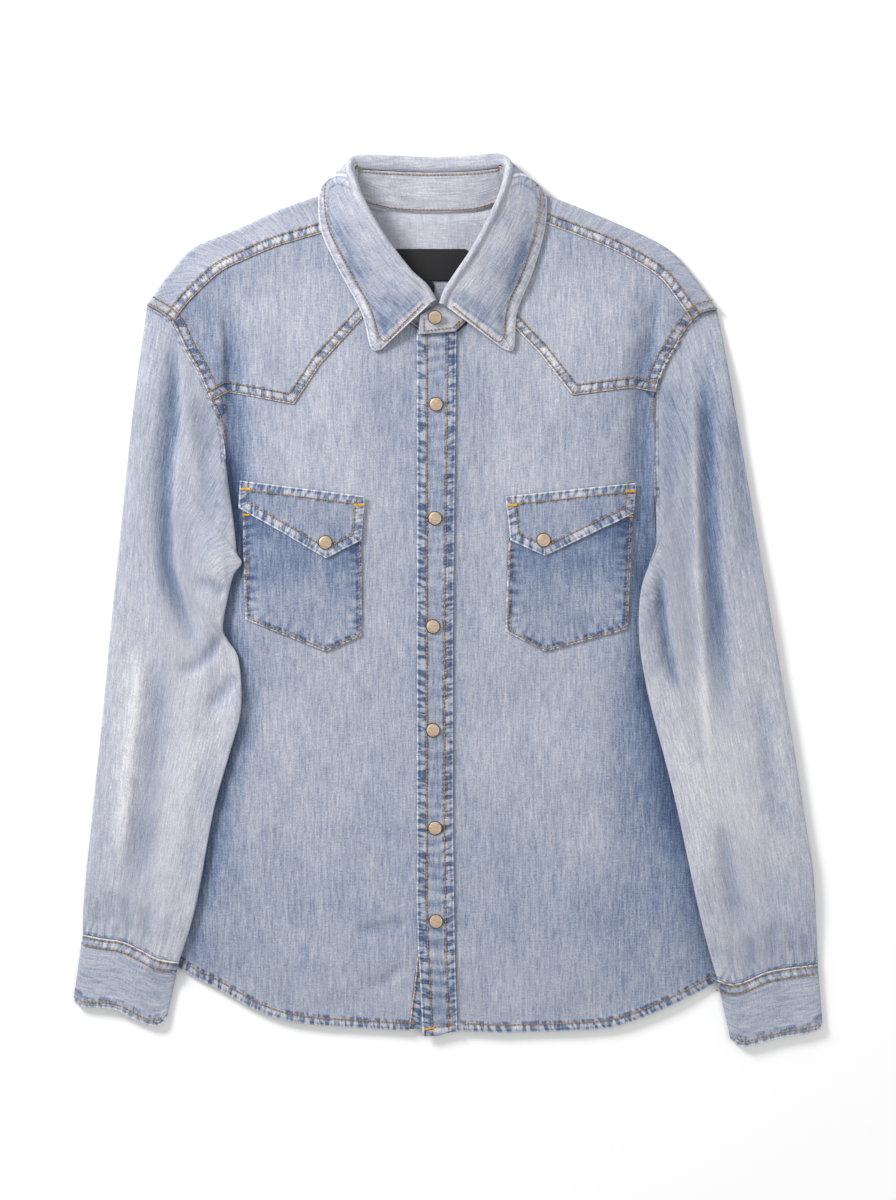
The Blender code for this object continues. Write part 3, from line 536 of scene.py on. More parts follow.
def fill_plan(left, right, bottom, top, columns, rows):
    """Plan coordinates of a grid inside four edges."""
    v, u = np.meshgrid(np.linspace(0, 1, rows), columns, indexing="ij")
    x = left(0.0 * v) + u * (right(0.0 * v) - left(0.0 * v))
    y = 0.0 * v
    for _ in range(40):
        y = bottom(x) + v * (top(x) - bottom(x))
        x = left(y) + u * (right(y) - left(y))
    return x, y


def shares_through(seam, left, right, spacing):
    """Shares from left to right that pass through a seam's corners."""
    corners = sorted({left, right, *(point.x for point in seam if left < point.x < right)})
    places = [left]
    for start, end in zip(corners, corners[1:]):
        places += list(np.linspace(start, end, int(np.ceil((end - start) / spacing)) + 1)[1:])
    return (np.array(places) - left) / (right - left)


def wash_and_shade_tone(x, y):
    """The tone at each point from the washed zones and the painted side shade."""
    tone = 0.0 * x
    for zone in WASH_AND_SHADE_ZONES:
        tone += zone.tone * np.exp(-(((x - zone.x) / zone.reach_x) ** 2) - ((y - zone.y) / zone.reach_y) ** 2)
    return tone


def painted_sleeve_shadow(x, y):
    """1 on the body right beside the sleeves, fading to 0: where the sleeves' shadow is painted on the cloth.
    """
    shade = 0.0 * x
    for inner in (SLEEVE_INNER_RIGHT, SLEEVE_INNER_LEFT):
        gap, _, _, _ = distance_to(curve_of(inner, 60), x, y)
        shade = np.maximum(shade, np.exp(-((gap / 14) ** 2)))
    return shade


def seam_fields(x, y, seams):
    """edge: distance to the nearest roped seam, run: how far along it. seams are plan curves."""
    edge = np.full(np.shape(x), 99.0)
    run = np.zeros(np.shape(x))
    for number, seam in enumerate(seams):
        gap, along, _, _ = distance_to(seam, x, y)
        run = np.where(gap < edge, along + 700 * number, run)
        edge = np.minimum(edge, gap)
    return edge, run


def rope(edge, run, amount=0.42, band=8.5, period=5.2):
    """Height of the puckers in the band beside a double-stitched seam."""
    inside = smooth(edge / 1.2) * (1 - smooth((edge - band + 1.5) / 4.0))
    slanted = run + edge * 0.35
    return amount * inside * ripple(slanted, period, 5) + 0.35 * (1 - smooth(edge / 2.2))


# ---------------------------------------------------------------- materials


def node(tree, kind, **values):
    made = tree.nodes.new(kind)
    for name, value in values.items():
        setattr(made, name, value)
    return made


def link(tree, out, into):
    tree.links.new(out, into)


def math(tree, operation, a, b=None, c=None):
    made = node(tree, "ShaderNodeMath", operation=operation)
    for socket, value in zip(made.inputs, (a, b, c)):
        if value is None:
            continue
        if isinstance(value, (int, float)):
            socket.default_value = value
        else:
            link(tree, value, socket)
    return made.outputs[0]


def ramp(tree, value, stops):
    made = node(tree, "ShaderNodeValToRGB")
    band = made.color_ramp
    while len(band.elements) < len(stops):
        band.elements.new(0.5)
    for element, (place, colour) in zip(band.elements, stops):
        element.position = place
        element.color = (*colour, 1)
    link(tree, value, made.inputs["Fac"])
    return made.outputs["Color"]


def step_between(tree, value, low, high):
    """0 at low and 1 at high, soft at both ends."""
    made = node(tree, "ShaderNodeMapRange", interpolation_type="SMOOTHSTEP")
    made.inputs["From Min"].default_value = low
    made.inputs["From Max"].default_value = high
    link(tree, value, made.inputs["Value"])
    return made.outputs["Result"]


def new_material(name, roughness):
    material = bpy.data.materials.new(name)
    material.use_nodes = True
    shader = material.node_tree.nodes["Principled BSDF"]
    shader.inputs["Roughness"].default_value = roughness
    return material, material.node_tree, shader


def noise_node(tree, vector, scale=1.0, detail=2.0, rough=0.5, flat=True):
    made = node(tree, "ShaderNodeTexNoise", noise_dimensions="2D" if flat else "3D")
    made.inputs["Scale"].default_value = scale
    made.inputs["Detail"].default_value = detail
    made.inputs["Roughness"].default_value = rough
    link(tree, vector, made.inputs["Vector"])
    return made.outputs["Fac"]


def add_bump(tree, shader, height, strength, distance):
    bump = node(tree, "ShaderNodeBump")
    bump.inputs["Strength"].default_value = strength
    bump.inputs["Distance"].default_value = distance
    link(tree, height, bump.inputs["Height"])
    link(tree, bump.outputs[0], shader.inputs["Normal"])


def streak(tree, grain, across, along, detail=3.0, rough=0.6):
    """Noise stretched along the warp: across and along are its sizes in metres."""
    scale = node(tree, "ShaderNodeMapping")
    scale.inputs["Scale"].default_value = (1 / across, 1 / along, 1)
    link(tree, grain, scale.inputs["Vector"])
    return noise_node(tree, scale.outputs[0], 1.0, detail, rough)


def srgb(r, g, b):
    """Linear colour from 0-255 display values."""
    values = np.array((r, g, b)) / 255.0
    linear = np.where(values < 0.04045, values / 12.92, ((values + 0.055) / 1.055) ** 2.4)
    return tuple(float(value) for value in linear)


DENIM_STOPS = (
    (0.00, srgb(66, 84, 118)),
    (0.28, srgb(108, 122, 149)),
    (0.50, srgb(144, 152, 171)),
    (0.72, srgb(174, 177, 189)),
    (0.90, srgb(195, 196, 204)),
    (1.00, srgb(214, 214, 218)),
)


STITCH_ROWS = (1.8, 8.3)


def denim_material(name, tone, warp=1.0, weave_contrast=1.0, cross=0.0, roped=0.55):
    """Washed twill. tone is its average lightness, and the piece's fields vary it."""
    material, tree, shader = new_material(name, 0.88)
    grain = node(tree, "ShaderNodeUVMap", uv_map="grain").outputs[0]
    local = node(tree, "ShaderNodeAttribute", attribute_name="tone").outputs["Fac"]
    edge = node(tree, "ShaderNodeAttribute", attribute_name="edge").outputs["Fac"]
    run = node(tree, "ShaderNodeAttribute", attribute_name="run").outputs["Fac"]

    fine = streak(tree, grain, 0.0016, 0.013, 2.0)
    medium = streak(tree, grain, 0.0028, 0.032 * warp, 3.0)
    broad = streak(tree, grain, 0.009, 0.07 * warp, 3.0)
    cloud = streak(tree, grain, 0.04, 0.06, 4.0)
    weft = streak(tree, grain, 0.009, 0.0011, 2.0)
    speck = streak(tree, grain, 0.0013, 0.0016, 2.0)

    value = math(tree, "ADD", local, tone)
    for field, amount in (
        (fine, 0.50 * weave_contrast),
        (medium, 0.34 * weave_contrast),
        (broad, 0.16),
        (cloud, 0.26),
        (weft, 0.26 + cross),
        (speck, 0.44 * weave_contrast),
    ):
        centred = math(tree, "SUBTRACT", field, 0.5)
        value = math(tree, "MULTIPLY_ADD", centred, amount, value)

    place = node(tree, "ShaderNodeCombineXYZ")
    slanted = math(tree, "MULTIPLY_ADD", edge, 0.2, run)
    link(tree, math(tree, "DIVIDE", slanted, 4.2), place.inputs[0])
    link(tree, math(tree, "DIVIDE", edge, 14.0), place.inputs[1])
    roping = noise_node(tree, place.outputs[0], rough=0.55)
    rope_mask = step_between(tree, edge, 11.5, 7.0)
    rope_value = math(tree, "SUBTRACT", step_between(tree, roping, 0.38, 0.62), 0.54)
    rope_value = math(tree, "MULTIPLY", rope_value, rope_mask)
    value = math(tree, "MULTIPLY_ADD", rope_value, roped, value)
    # Pale worn edges along the seams.
    wear_and_rim_shade = step_between(tree, edge, 1.6, 0.5)
    value = math(tree, "MULTIPLY_ADD", wear_and_rim_shade, 0.42, value)

    # Painted shade along the stitch lines, where the thread pulls the cloth into a groove.
    for row in STITCH_ROWS:
        from_row = math(tree, "ABSOLUTE", math(tree, "SUBTRACT", edge, row))
        value = math(tree, "MULTIPLY_ADD", step_between(tree, from_row, 1.9, 0.5), -0.16, value)

    colour = ramp(tree, value, DENIM_STOPS)
    link(tree, colour, shader.inputs["Base Color"])
    shader.inputs["Specular IOR Level"].default_value = 0.18
    shader.inputs["Sheen Weight"].default_value = 0.08
    shader.inputs["Sheen Roughness"].default_value = 0.5

    twist = node(tree, "ShaderNodeMapping")
    twist.inputs["Rotation"].default_value = (0, 0, 1.1)
    link(tree, grain, twist.inputs["Vector"])
    twill = node(tree, "ShaderNodeTexWave", wave_type="BANDS", bands_direction="X")
    twill.inputs["Scale"].default_value = 240.0
    twill.inputs["Distortion"].default_value = 1.2
    link(tree, twist.outputs[0], twill.inputs["Vector"])
    height = math(tree, "MULTIPLY_ADD", twill.outputs["Fac"], 0.35, math(tree, "MULTIPLY", fine, 0.9))
    height = math(tree, "MULTIPLY_ADD", medium, 0.8, height)
    height = math(tree, "MULTIPLY_ADD", math(tree, "MULTIPLY", roping, rope_mask), 2.2, height)
    add_bump(tree, shader, height, 0.55, 0.0006)
    return material


def thread_material(name, colour, dark):
    material, tree, shader = new_material(name, 0.7)
    place = node(tree, "ShaderNodeTexCoord").outputs["Object"]
    noise = noise_node(tree, place, 420.0, flat=False)
    link(tree, ramp(tree, noise, ((0.3, dark), (0.62, colour))), shader.inputs["Base Color"])
    return material


def label_material():
    material, tree, shader = new_material("black_label", 0.55)
    grain = node(tree, "ShaderNodeUVMap", uv_map="grain").outputs[0]
    weave = streak(tree, grain, 0.002, 0.0005, 2.0)
    stops = ((0.3, srgb(7, 7, 9)), (0.7, srgb(17, 16, 21)))
    link(tree, ramp(tree, weave, stops), shader.inputs["Base Color"])
    add_bump(tree, shader, weave, 0.3, 0.0003)
    return material


def brass_material():
    material, tree, shader = new_material("brushed_brass", 0.5)
    place = node(tree, "ShaderNodeTexCoord").outputs["Object"]
    brushed = node(tree, "ShaderNodeMapping")
    brushed.inputs["Scale"].default_value = (220, 1500, 220)
    link(tree, place, brushed.inputs["Vector"])
    noise = noise_node(tree, brushed.outputs[0], detail=3.0, flat=False)
    stops = ((0.0, srgb(92, 74, 60)), (0.3, srgb(188, 163, 138)), (0.7, srgb(218, 198, 175)))
    # Painted shade: the value drops over the rolled rim and skirt, so the cap's edge is painted darker.
    rim = node(tree, "ShaderNodeAttribute", attribute_name="rim").outputs["Fac"]
    wear_and_rim_shade = math(tree, "SUBTRACT", noise, step_between(tree, rim, 5.2, 6.1))
    link(tree, ramp(tree, wear_and_rim_shade, stops), shader.inputs["Base Color"])
    shader.inputs["Metallic"].default_value = 0.8
    rough = node(tree, "ShaderNodeMapRange")
    rough.inputs["To Min"].default_value = 0.42
    rough.inputs["To Max"].default_value = 0.58
    link(tree, noise, rough.inputs["Value"])
    link(tree, rough.outputs["Result"], shader.inputs["Roughness"])
    return material


body_denim = denim_material("denim_body", 0.55)
yoke_denim = denim_material("denim_yoke", 0.54)
sleeve_denim = denim_material("denim_sleeve", 0.66, warp=1.3, roped=0.3)
patch_denim = denim_material("denim_patch", 0.41)
trim_denim = denim_material("denim_trim", 0.59, roped=0.36)
collar_denim = denim_material("denim_collar", 0.66, warp=0.8, roped=0.16)
inside_denim = denim_material("denim_inside", 0.60, weave_contrast=0.5, cross=0.22)
thread = thread_material("tan_thread", srgb(178, 140, 88), srgb(116, 86, 52))
bar_thread = thread_material("gold_thread", srgb(236, 178, 56), srgb(196, 140, 32))
black_label = label_material()
brass = brass_material()

# ---------------------------------------------------------------- stitching

stitch_runs = {}
STITCH_PITCH = 3.1
STITCH_LENGTH = 2.7
STITCH_WIDTH = 1.15


def stitch(group, path, material_slot=0):
    """Remember a stitched line: path is rows of x, y, z in millimetres."""
    stitch_runs.setdefault(group, []).append((np.array(path, float), material_slot))


def offset_curve(curve, distance):
    """A plan curve moved sideways: positive is to the left of its direction."""
    curve = np.array(curve, float)
    tangent = np.gradient(curve, axis=0)
    tangent /= np.linalg.norm(tangent, axis=1)[:, None] + 1e-9
    return curve + distance * np.stack([-tangent[:, 1], tangent[:, 0]], axis=1)


def mitred(points, distance):
    """A plan polyline moved sideways with sharp corners: positive is to the left."""
    path = np.array(points, float)
    along_side = np.diff(path, axis=0)
    along_side /= np.linalg.norm(along_side, axis=1)[:, None]
    aside = np.column_stack([-along_side[:, 1], along_side[:, 0]])
    moved = [path[0] + distance * aside[0]]
    for before, after, corner in zip(aside, aside[1:], path[1:]):
        moved.append(corner + distance * (before + after) / (1 + before @ after))
    moved.append(path[-1] + distance * aside[-1])
    return np.array(moved)


def on_body(curve, lift):
    """A plan curve raised onto the fronts' outer face."""
    curve = np.array(curve, float)
    return np.column_stack([curve, body_top(curve[:, 0], curve[:, 1]) + lift])


def build_stitches(name, runs):
    """One mesh of separate rounded stitches lying along the remembered lines."""
    points, faces, slots = [], [], []
    ring = np.array([(1, 0.0), (0.5, 0.8), (-0.5, 0.8), (-1, 0.0)])
    for path, material_slot in runs:
        length = run_along(path)
        count = max(1, int(length[-1] / STITCH_PITCH))
        for number in range(count):
            middle = (number + 0.5) * length[-1] / count
            ends = [
                np.array([np.interp(middle + s * STITCH_LENGTH / 2, length, c) for c in path.T])
                for s in (-1, -0.5, 0.5, 1)
            ]
            ahead = ends[-1] - ends[0]
            ahead /= np.linalg.norm(ahead) + 1e-9
            aside = np.cross(ahead, (0, 0, 1.0))
            aside /= np.linalg.norm(aside) + 1e-9
            up = np.cross(aside, ahead)
            start = len(points)
            for place, size, sink in zip(ends, (0.55, 1.0, 1.0, 0.55), (-0.22, 0.0, 0.0, -0.22)):
                for across, high in ring:
                    sideways = aside * across * size * STITCH_WIDTH / 2
                    upward = up * (high * size * STITCH_WIDTH * 0.55 + sink)
                    points.append(place + sideways + upward)
            for section in range(3):
                for corner in range(4):
                    a = start + section * 4 + corner
                    b = start + section * 4 + (corner + 1) % 4
                    faces.append((a, b, b + 4, a + 4))
                    slots.append(material_slot)
            faces.append((start + 3, start + 2, start + 1, start))
            faces.append((start + 12, start + 13, start + 14, start + 15))
            slots += [material_slot, material_slot]
    faces = np.array(faces)
    piece = new_object(name, np.array(points), faces, np.zeros((len(faces), 4, 2)), {}, thread)
    piece.data.materials.append(bar_thread)
    piece.data.polygons.foreach_set("material_index", np.array(slots))
    return piece


# ---------------------------------------------------------------- body pieces


def armhole_side(outline, y, corner):
    """A front's side edge, which ends upright at the yoke's corner."""
    low = x_at(outline, corner.y - 20)
    blended = np.interp(y, (corner.y - 20, corner.y - 4), (low, corner.x))
    return np.where(y < corner.y - 20, x_at(outline, y), blended)


def build_front(name, left, right, ends, seam, armhole, hem_reach):
    """A front between two side lines. ends are its x along the yoke's seam, hem_reach the stitched hem's."""
    x, y = fill_plan(
        left,
        right,
        lambda x: y_at(hem_curve, x),
        lambda x: y_at(seam, x),
        shares_through(seam, *ends, FRONT_STEP),
        FRONT_ROWS,
    )
    edge, run = seam_fields(x, y, [hem_curve, armhole])
    z = body_top(x, y) + rope(edge, run)
    sunk = crease_field(BODY_CREASES, x, y)
    # Painted shade in the creases' troughs and painted highlight on their ridges.
    shade = wash_and_shade_tone(x, y) - 0.05 * np.clip(sunk, 0, 5) + 0.06 * np.clip(-sunk, 0, 2)
    # Painted shadow of the sleeves on the body beside them.
    shade = shade - 0.16 * painted_sleeve_shadow(x, y)
    grid_piece(name, (x, y, z), None, (shade, edge, run), body_denim)
    hem_line = offset_curve(evenly(hem_curve, 400), HEM_STITCH_INSET)
    sewn = (hem_line[:, 0] > hem_reach[0]) & (hem_line[:, 0] < hem_reach[1])
    stitch(name, on_body(hem_line[sewn], HEM_STITCH_LIFT))


def build_fronts():
    corner_right, corner_left = YOKE_SEAM_RIGHT[0], YOKE_SEAM_LEFT[-1]
    build_front(
        "front_right",
        lambda y: armhole_side(side_right, y, corner_right),
        lambda y: x_at(UNDER_PLACKET_LEFT, y),
        (corner_right.x, UNDER_PLACKET_LEFT[-1].x),
        YOKE_SEAM_RIGHT,
        side_right[side_right[:, 1] > BAND_END_RIGHT_Y],
        (-238, -28),
    )
    build_front(
        "front_left",
        lambda y: x_at(PLACKET_RIGHT, y),
        lambda y: armhole_side(side_left, y, corner_left),
        (PLACKET_RIGHT[-1].x, corner_left.x),
        YOKE_SEAM_LEFT,
        side_left[side_left[:, 1] > BAND_END_LEFT_Y],
        (12, 236),
    )


def build_front_yoke(name, foot, neck, shoulder, outline, inward):
    """A pointed yoke from its lower seam, armhole to neck, up to the shoulder seam."""
    head = curve_of(shoulder[::-1])
    foot_x = np.array([point.x for point in foot])
    low_x = foot_x.min() + shares_through(foot, foot_x.min(), foot_x.max(), FRONT_STEP) * np.ptp(foot_x)
    low_x = low_x if inward > 0 else low_x[::-1]
    low = np.column_stack([low_x, y_at(foot, low_x)])
    length = run_along(low)
    head_x, head_y = (np.interp(length / length[-1], np.linspace(0, 1, len(head)), side) for side in head.T)
    v = np.linspace(0, 1, YOKE_ROWS)[:, None]
    x = low[:, 0][None] * (1 - v) + head_x[None] * v
    y = low[:, 1][None] * (1 - v) + head_y[None] * v
    x[:, 0] = x_at(outline, y[:, 0])
    x[:, -1] = x_at(neck, y[:, -1])
    edge, run = seam_fields(x, y, [evenly(foot, 120), outline[outline[:, 1] > 120]])
    over = YOKE_OVERLAP * (1 - smooth(v * YOKE_ROWS / 30)) * np.ones_like(x)
    z = body_top(x, y) + over + rope(edge, run, 0.4)
    # Painted shade in the creases' troughs.
    shade = wash_and_shade_tone(x, y) - 0.035 * np.clip(crease_field(BODY_CREASES, x, y), 0, 5)
    grid_piece(name, (x, y, z), None, (shade, edge, run), yoke_denim, flip=inward < 0)
    for distance in (1.6, 8.2):
        stitch(name, on_body(evenly(mitred(foot, inward * distance), 200), 1.35))


def build_front_yokes():
    build_front_yoke(
        "front_yoke_right", YOKE_SEAM_RIGHT[:6], YOKE_NECK_RIGHT, SHOULDER_SEAM_RIGHT, side_right, 1
    )
    build_front_yoke(
        "front_yoke_left", YOKE_SEAM_LEFT[3:][::-1], YOKE_NECK_LEFT, SHOULDER_SEAM_LEFT, side_left, -1
    )


# The row of a wing that runs along its fold, halfway round the bend
FOLD_ROW = WING_FLOOR_ROWS + WING_BEND_ROWS // 2


def wing_rows(folds, seams, outline):
    """Plan and height rows of a back-yoke wing from the back seam to the front seam."""
    fold, seam = curve_of(folds, WING_COLUMNS), curve_of(seams, WING_COLUMNS)
    radius = FOLD_HEIGHT / 2
    reach = seam - fold
    inward = reach / np.linalg.norm(reach, axis=1)[:, None]
    low = fold + inward * radius
    foot_ends = (0.82 * low[0, 0], x_at(outline, BACK_SEAM_Y))
    foot_x = np.interp(np.linspace(0, 1, WING_COLUMNS), (0, 1), foot_ends)
    rows = []
    for share in np.linspace(0, 1, WING_FLOOR_ROWS + 1)[:-1]:
        y = BACK_SEAM_Y + share * (low[:, 1] - BACK_SEAM_Y)
        x = foot_x + share * (low[:, 0] - foot_x)
        rows.append((x, y, np.full(WING_COLUMNS, WALL / 2)))
    for angle in np.radians(np.linspace(-90, 90, WING_BEND_ROWS)):
        place = fold + inward * radius * (1 - np.cos(angle))
        z = np.full(WING_COLUMNS, WALL / 2 + radius * (1 + np.sin(angle)))
        rows.append((place[:, 0], place[:, 1], z))
    seam_top = body_top(seam[:, 0], seam[:, 1]) - WALL / 2 + YOKE_OVERLAP
    for share in np.linspace(0, 1, WING_TOP_ROWS + 1)[1:]:
        place = low + (seam - low) * share
        z = WALL / 2 + FOLD_HEIGHT + (seam_top - WALL / 2 - FOLD_HEIGHT) * smooth(share)
        rows.append((place[:, 0], place[:, 1], z))
    grid = np.array([np.column_stack(row) for row in rows])
    grid[:, -1, 0] = x_at(outline, grid[:, -1, 1])
    return grid, fold, seam


def build_back():
    """The plain panel that lies on the floor, up to the back yoke's seam."""
    x, y = fill_plan(
        lambda y: x_at(side_right, y) + 1.0,
        lambda y: x_at(side_left, y) - 1.0,
        lambda x: y_at(hem_curve, x) + 1.5,
        lambda x: BACK_SEAM_Y + 0 * x,
        np.linspace(0, 1, 120),
        150,
    )
    edge, run = seam_fields(x, y, [hem_curve])
    z = np.full(x.shape, BACK_WALL)
    grid_piece("back", (x, y, z), None, (0.05 * noise_2d(x, y, 60, 8), edge, run), body_denim, BACK_WALL)


def build_back_yoke():
    """Floor part, two wings folded over the shoulders, and the strips down to the front seams."""
    right, fold_right, seam_right = wing_rows(FOLD_RIGHT, SHOULDER_SEAM_RIGHT, side_right)
    left, fold_left, seam_left = wing_rows(FOLD_LEFT, SHOULDER_SEAM_LEFT, side_left)
    under = WING_FLOOR_ROWS + 1
    ends = [tuple(right[under - 1, 0, :2]), *[tuple(p) for p in BACK_NECK], tuple(left[under - 1, 0, :2])]
    neck = curve_of(ends, 70)
    share = np.linspace(0, 1, under)[:, None]
    foot_x = np.interp(np.linspace(0, 1, 70), (0, 1), (right[0, 0, 0], left[0, 0, 0]))
    middle_x = foot_x[None] * (1 - share) + neck[:, 0][None] * share
    middle_y = BACK_SEAM_Y * (1 - share) + neck[:, 1][None] * share
    middle = np.stack([middle_x, middle_y, np.full(middle_x.shape, WALL / 2)], axis=-1)
    middle[:, 0] = right[:under, 0]
    middle[:, -1] = left[:under, 0]

    points, faces, uvs = [], [], []

    def add(grid, flip, fold=None):
        """One part of the yoke. Beyond a fold the grain is the cloth's unfolded place."""
        start = sum(len(p) for p in points)
        rows, columns = grid.shape[:2]
        uv = grid[..., :2] * MM
        if fold is not None:
            uv = np.where(np.arange(rows)[:, None, None] >= FOLD_ROW, 2 * fold[None] * MM - uv, uv)
        r, c = np.meshgrid(np.arange(rows - 1), np.arange(columns - 1), indexing="ij")
        corners = [(r, c), (r, c + 1), (r + 1, c + 1), (r + 1, c)]
        corners = corners[::-1] if flip else corners
        points.append(grid.reshape(-1, 3))
        faces.append(np.stack([start + a * columns + b for a, b in corners], axis=-1).reshape(-1, 4))
        uvs.append(np.stack([uv[a, b] for a, b in corners], axis=-2).reshape(-1, 4, 2))

    add(right, True, fold_right)
    add(middle, False)
    add(left, False, fold_left)
    points = np.concatenate(points)
    inner = points[:, 2] < 1.0
    edge, run = seam_fields(points[:, 0], points[:, 1], [seam_right, seam_left])
    edge = np.where(inner, 60.0, edge)
    points[:, 2] += np.where(inner, 0.0, rope(edge, run, 0.4))
    tone = np.where(inner, 0.16, 0.10)
    fields = {"tone": tone, "edge": edge, "run": run}
    faces = np.concatenate(faces)
    piece = new_object("back_yoke_cloth", points, faces, np.concatenate(uvs), fields, yoke_denim)
    piece.data.materials.append(inside_denim)
    piece.data.polygons.foreach_set("material_index", inner[faces].all(axis=1).astype(int))
    weld = piece.modifiers.new("weld", "WELD")
    weld.merge_threshold = 0.00005
    add_wall(piece, WALL, 0.0)
    register("back_yoke")
    for seam, side in ((seam_right, 1), (seam_left, -1)):
        for distance, lift in ((1.5, 1.35), (8.3, 1.25)):
            line = offset_curve(evenly(seam, 150), -side * distance)
            stitch("back_yoke", on_body(line, lift))


def build_plackets():
    """The placket with its stitching, and the strip under it that shows at the hem."""
    for name, left, right, lift, bottom, margin in (
        ("placket", PLACKET_LEFT, PLACKET_RIGHT, PLACKET_LIFT, -379.0, 0.0),
        ("under_placket", UNDER_PLACKET_LEFT, PLACKET_RIGHT, -WALL, -373.0, 1.2),
    ):
        x, y = fill_plan(
            lambda y: x_at(left, y) + 0.35 * noise_2d(y, y * 0, 9, 4),
            lambda y: x_at(right, y) - margin,
            lambda x: bottom + 3.5 * smooth((x + 12) / 16),
            lambda x: PLACKET_TOP_Y + 0 * x,
            np.linspace(0, 1, 30),
            380,
        )
        left_line = np.column_stack([x[:, 0], y[:, 0]])
        right_line = np.column_stack([x[:, -1], y[:, -1]])
        seams = [left_line[::6], right_line[::6]]
        edge, run = seam_fields(x, y, seams)
        gathered = 0.5 + 0.5 * smooth((-150 - y) / 60) + 0.5 * smooth((y - 190) / 20)
        pucker = 0.5 * gathered * ripple(y + 3 * noise_2d(x, y, 20, 3), 11, 9) * smooth((edge - 3) / 5)
        z = body_top(x, y) + lift + rope(edge, run, 0.4, band=8.5, period=7.5) + pucker
        tone = 0.08 * smooth((edge - 7) / 3) + 0.30 * pucker + 0.05 * noise_2d(x, y, 12, 6)
        tone = tone + 0.22 * (1 - smooth((y - bottom - 6) / 4)) * (name == "placket")
        grid_piece(name, (x, y, z), None, (tone, edge, run), patch_denim, WALL, 1.0)
        if name == "under_placket":
            shown = left_line[(left_line[:, 1] < -305) & (left_line[:, 1] > -372)] + (1.3, 0)
            stitch(name, on_body(shown, 0.35))
        if name == "placket":
            for line, distance in ((left_line, 8.6), (right_line, -7.6)):
                path = np.column_stack([line[:, 0] + distance, line[:, 1]])[1:-2]
                stitch("placket", on_body(path, PLACKET_LIFT + WALL + 0.3))
            bottom_line = np.column_stack([np.linspace(-20, 7, 30), np.linspace(-372.5, -369, 30)])
            stitch("placket", on_body(bottom_line, PLACKET_LIFT + WALL + 0.3))
            for number in range(16):
                x0 = -20.4 + 0.52 * number
                bar = np.array([(x0, -374.0 + 0.1 * number), (x0 + 0.5, -372.6 + 0.1 * number)])
                stitch("placket", on_body(bar, PLACKET_LIFT + WALL + 0.45), 1)


def patch_edges(patch, inset):
    """The patch's outline, moved in by inset, from the top left corner round to the top right."""
    corners = [patch.top[0], *patch.bottom, patch.top[-1]]
    return evenly(mitred([(point.x, point.y) for point in corners], inset), 220)


def bar_tack(group, x, y, step, count, half_height, lift):
    """A row of close upright stitches."""
    for number in range(count):
        place = x + number * step
        bar = np.array([(place, y - half_height), (place, y), (place, y + half_height)])
        stitch(group, on_body(bar, lift), 1)


def build_patch(name, patch, lift, inset):
    """A pocket or flap, stitched at one inset from its edge."""
    columns = shares_through(patch.bottom, patch.bottom[0].x, patch.bottom[-1].x, 1.8)
    x, y = fill_plan(
        lambda y: x_at(patch.left, y) + 0.3 * noise_2d(y, 0 * y, 8, 5),
        lambda y: x_at(patch.right, y) + 0.3 * noise_2d(y, 0 * y, 8, 7),
        lambda x: y_at(patch.bottom, x) + 0.25 * noise_2d(x, 0 * x, 7, 9),
        lambda x: y_at(patch.top, x),
        columns,
        72 if "pocket" in name else 40,
    )
    outline = patch_edges(patch, 0.0)
    top_line = evenly([(p.x, p.y) for p in patch.top], 60)
    edge, run = seam_fields(x, y, [outline, top_line])
    is_flap = "flap" in name
    if is_flap:
        roped, puckers = edge, rope(edge, run, 0.4)
    else:
        roped, puckers = edge + 4.5, rope(edge * 1.6, run, 0.3)
    z = body_top(x, y) + lift + puckers
    z += 0.25 * noise_2d(x, y, 18, 12) * smooth(edge / 12)
    tone = wash_and_shade_tone(x, y) * 0.5 + 0.05 * noise_2d(x, y, 16, 13)
    if is_flap:
        tone = tone - 0.07 * smooth((edge - 6) / 4) + 0.08
    else:
        top_y = y_at(patch.top, x)
        tone = tone + 0.05 - 0.16 * smooth((y - top_y + 90) / 50) - 0.14 * smooth((y - top_y + 44) / 26)
        tone = tone + 0.34 * (1 - smooth((edge - 0.3) / 0.9))
        tone = tone - 0.14 * (1 - smooth((edge - 2) / 12)) * (0.6 + 0.6 * noise_2d(x, y, 7, 14))
        beside = np.exp(-(((edge - 6) / 6) ** 2))
        pucker = ripple(run + 2 * noise_2d(x, y, 9, 15), 8, 17)
        tone = tone + 0.20 * pucker * beside
        z = z + 0.35 * pucker * beside
    grid_piece(name, (x, y, z), None, (tone, roped, run), patch_denim, WALL, 1.0)
    line = patch_edges(patch, inset)
    if not is_flap:
        line = line[line[:, 1] < y_at(patch.top, line[:, 0]) - 3]
    stitch(name, on_body(line, lift + WALL + 0.25))
    if is_flap:
        low_top = [(point.x, point.y - 7.6) for point in patch.top]
        stitch(name, on_body(evenly(low_top, 60)[3:-3], lift + WALL + 0.25))
    for corner, inward in ((patch.top[0], 1), (patch.top[-1], -1)):
        if is_flap:
            bar_tack(name, corner.x + inward * 1.4, corner.y - 7.6, inward * 0.5, 17, 1.0, lift + WALL + 0.4)
        else:
            bar_tack(name, corner.x + inward * 0.6, corner.y - 13.0, inward * 0.5, 12, 0.8, lift + WALL + 0.3)


# ---------------------------------------------------------------- sleeves and cuffs

AROUND = 96


def tube_ring(plan, height, base):
    """One ring of a flattened tube: x, y, z and lift, which is -1 below and 1 on top."""
    angle = np.linspace(0, 2 * np.pi, AROUND, endpoint=False)
    s = (1 - np.cos(angle)) / 2
    x, y = plan(s)
    lift = np.sign(np.sin(angle)) * np.abs(np.sin(angle)) ** 0.55
    z = base(x, y, s) + height / 2 * (1 + lift)
    return x, y, z, lift


def along(curve, s):
    """Plan coordinates at shares of a curve's points."""
    places = np.linspace(0, 1, len(curve))
    return np.interp(s, places, curve[:, 0]), np.interp(s, places, curve[:, 1])


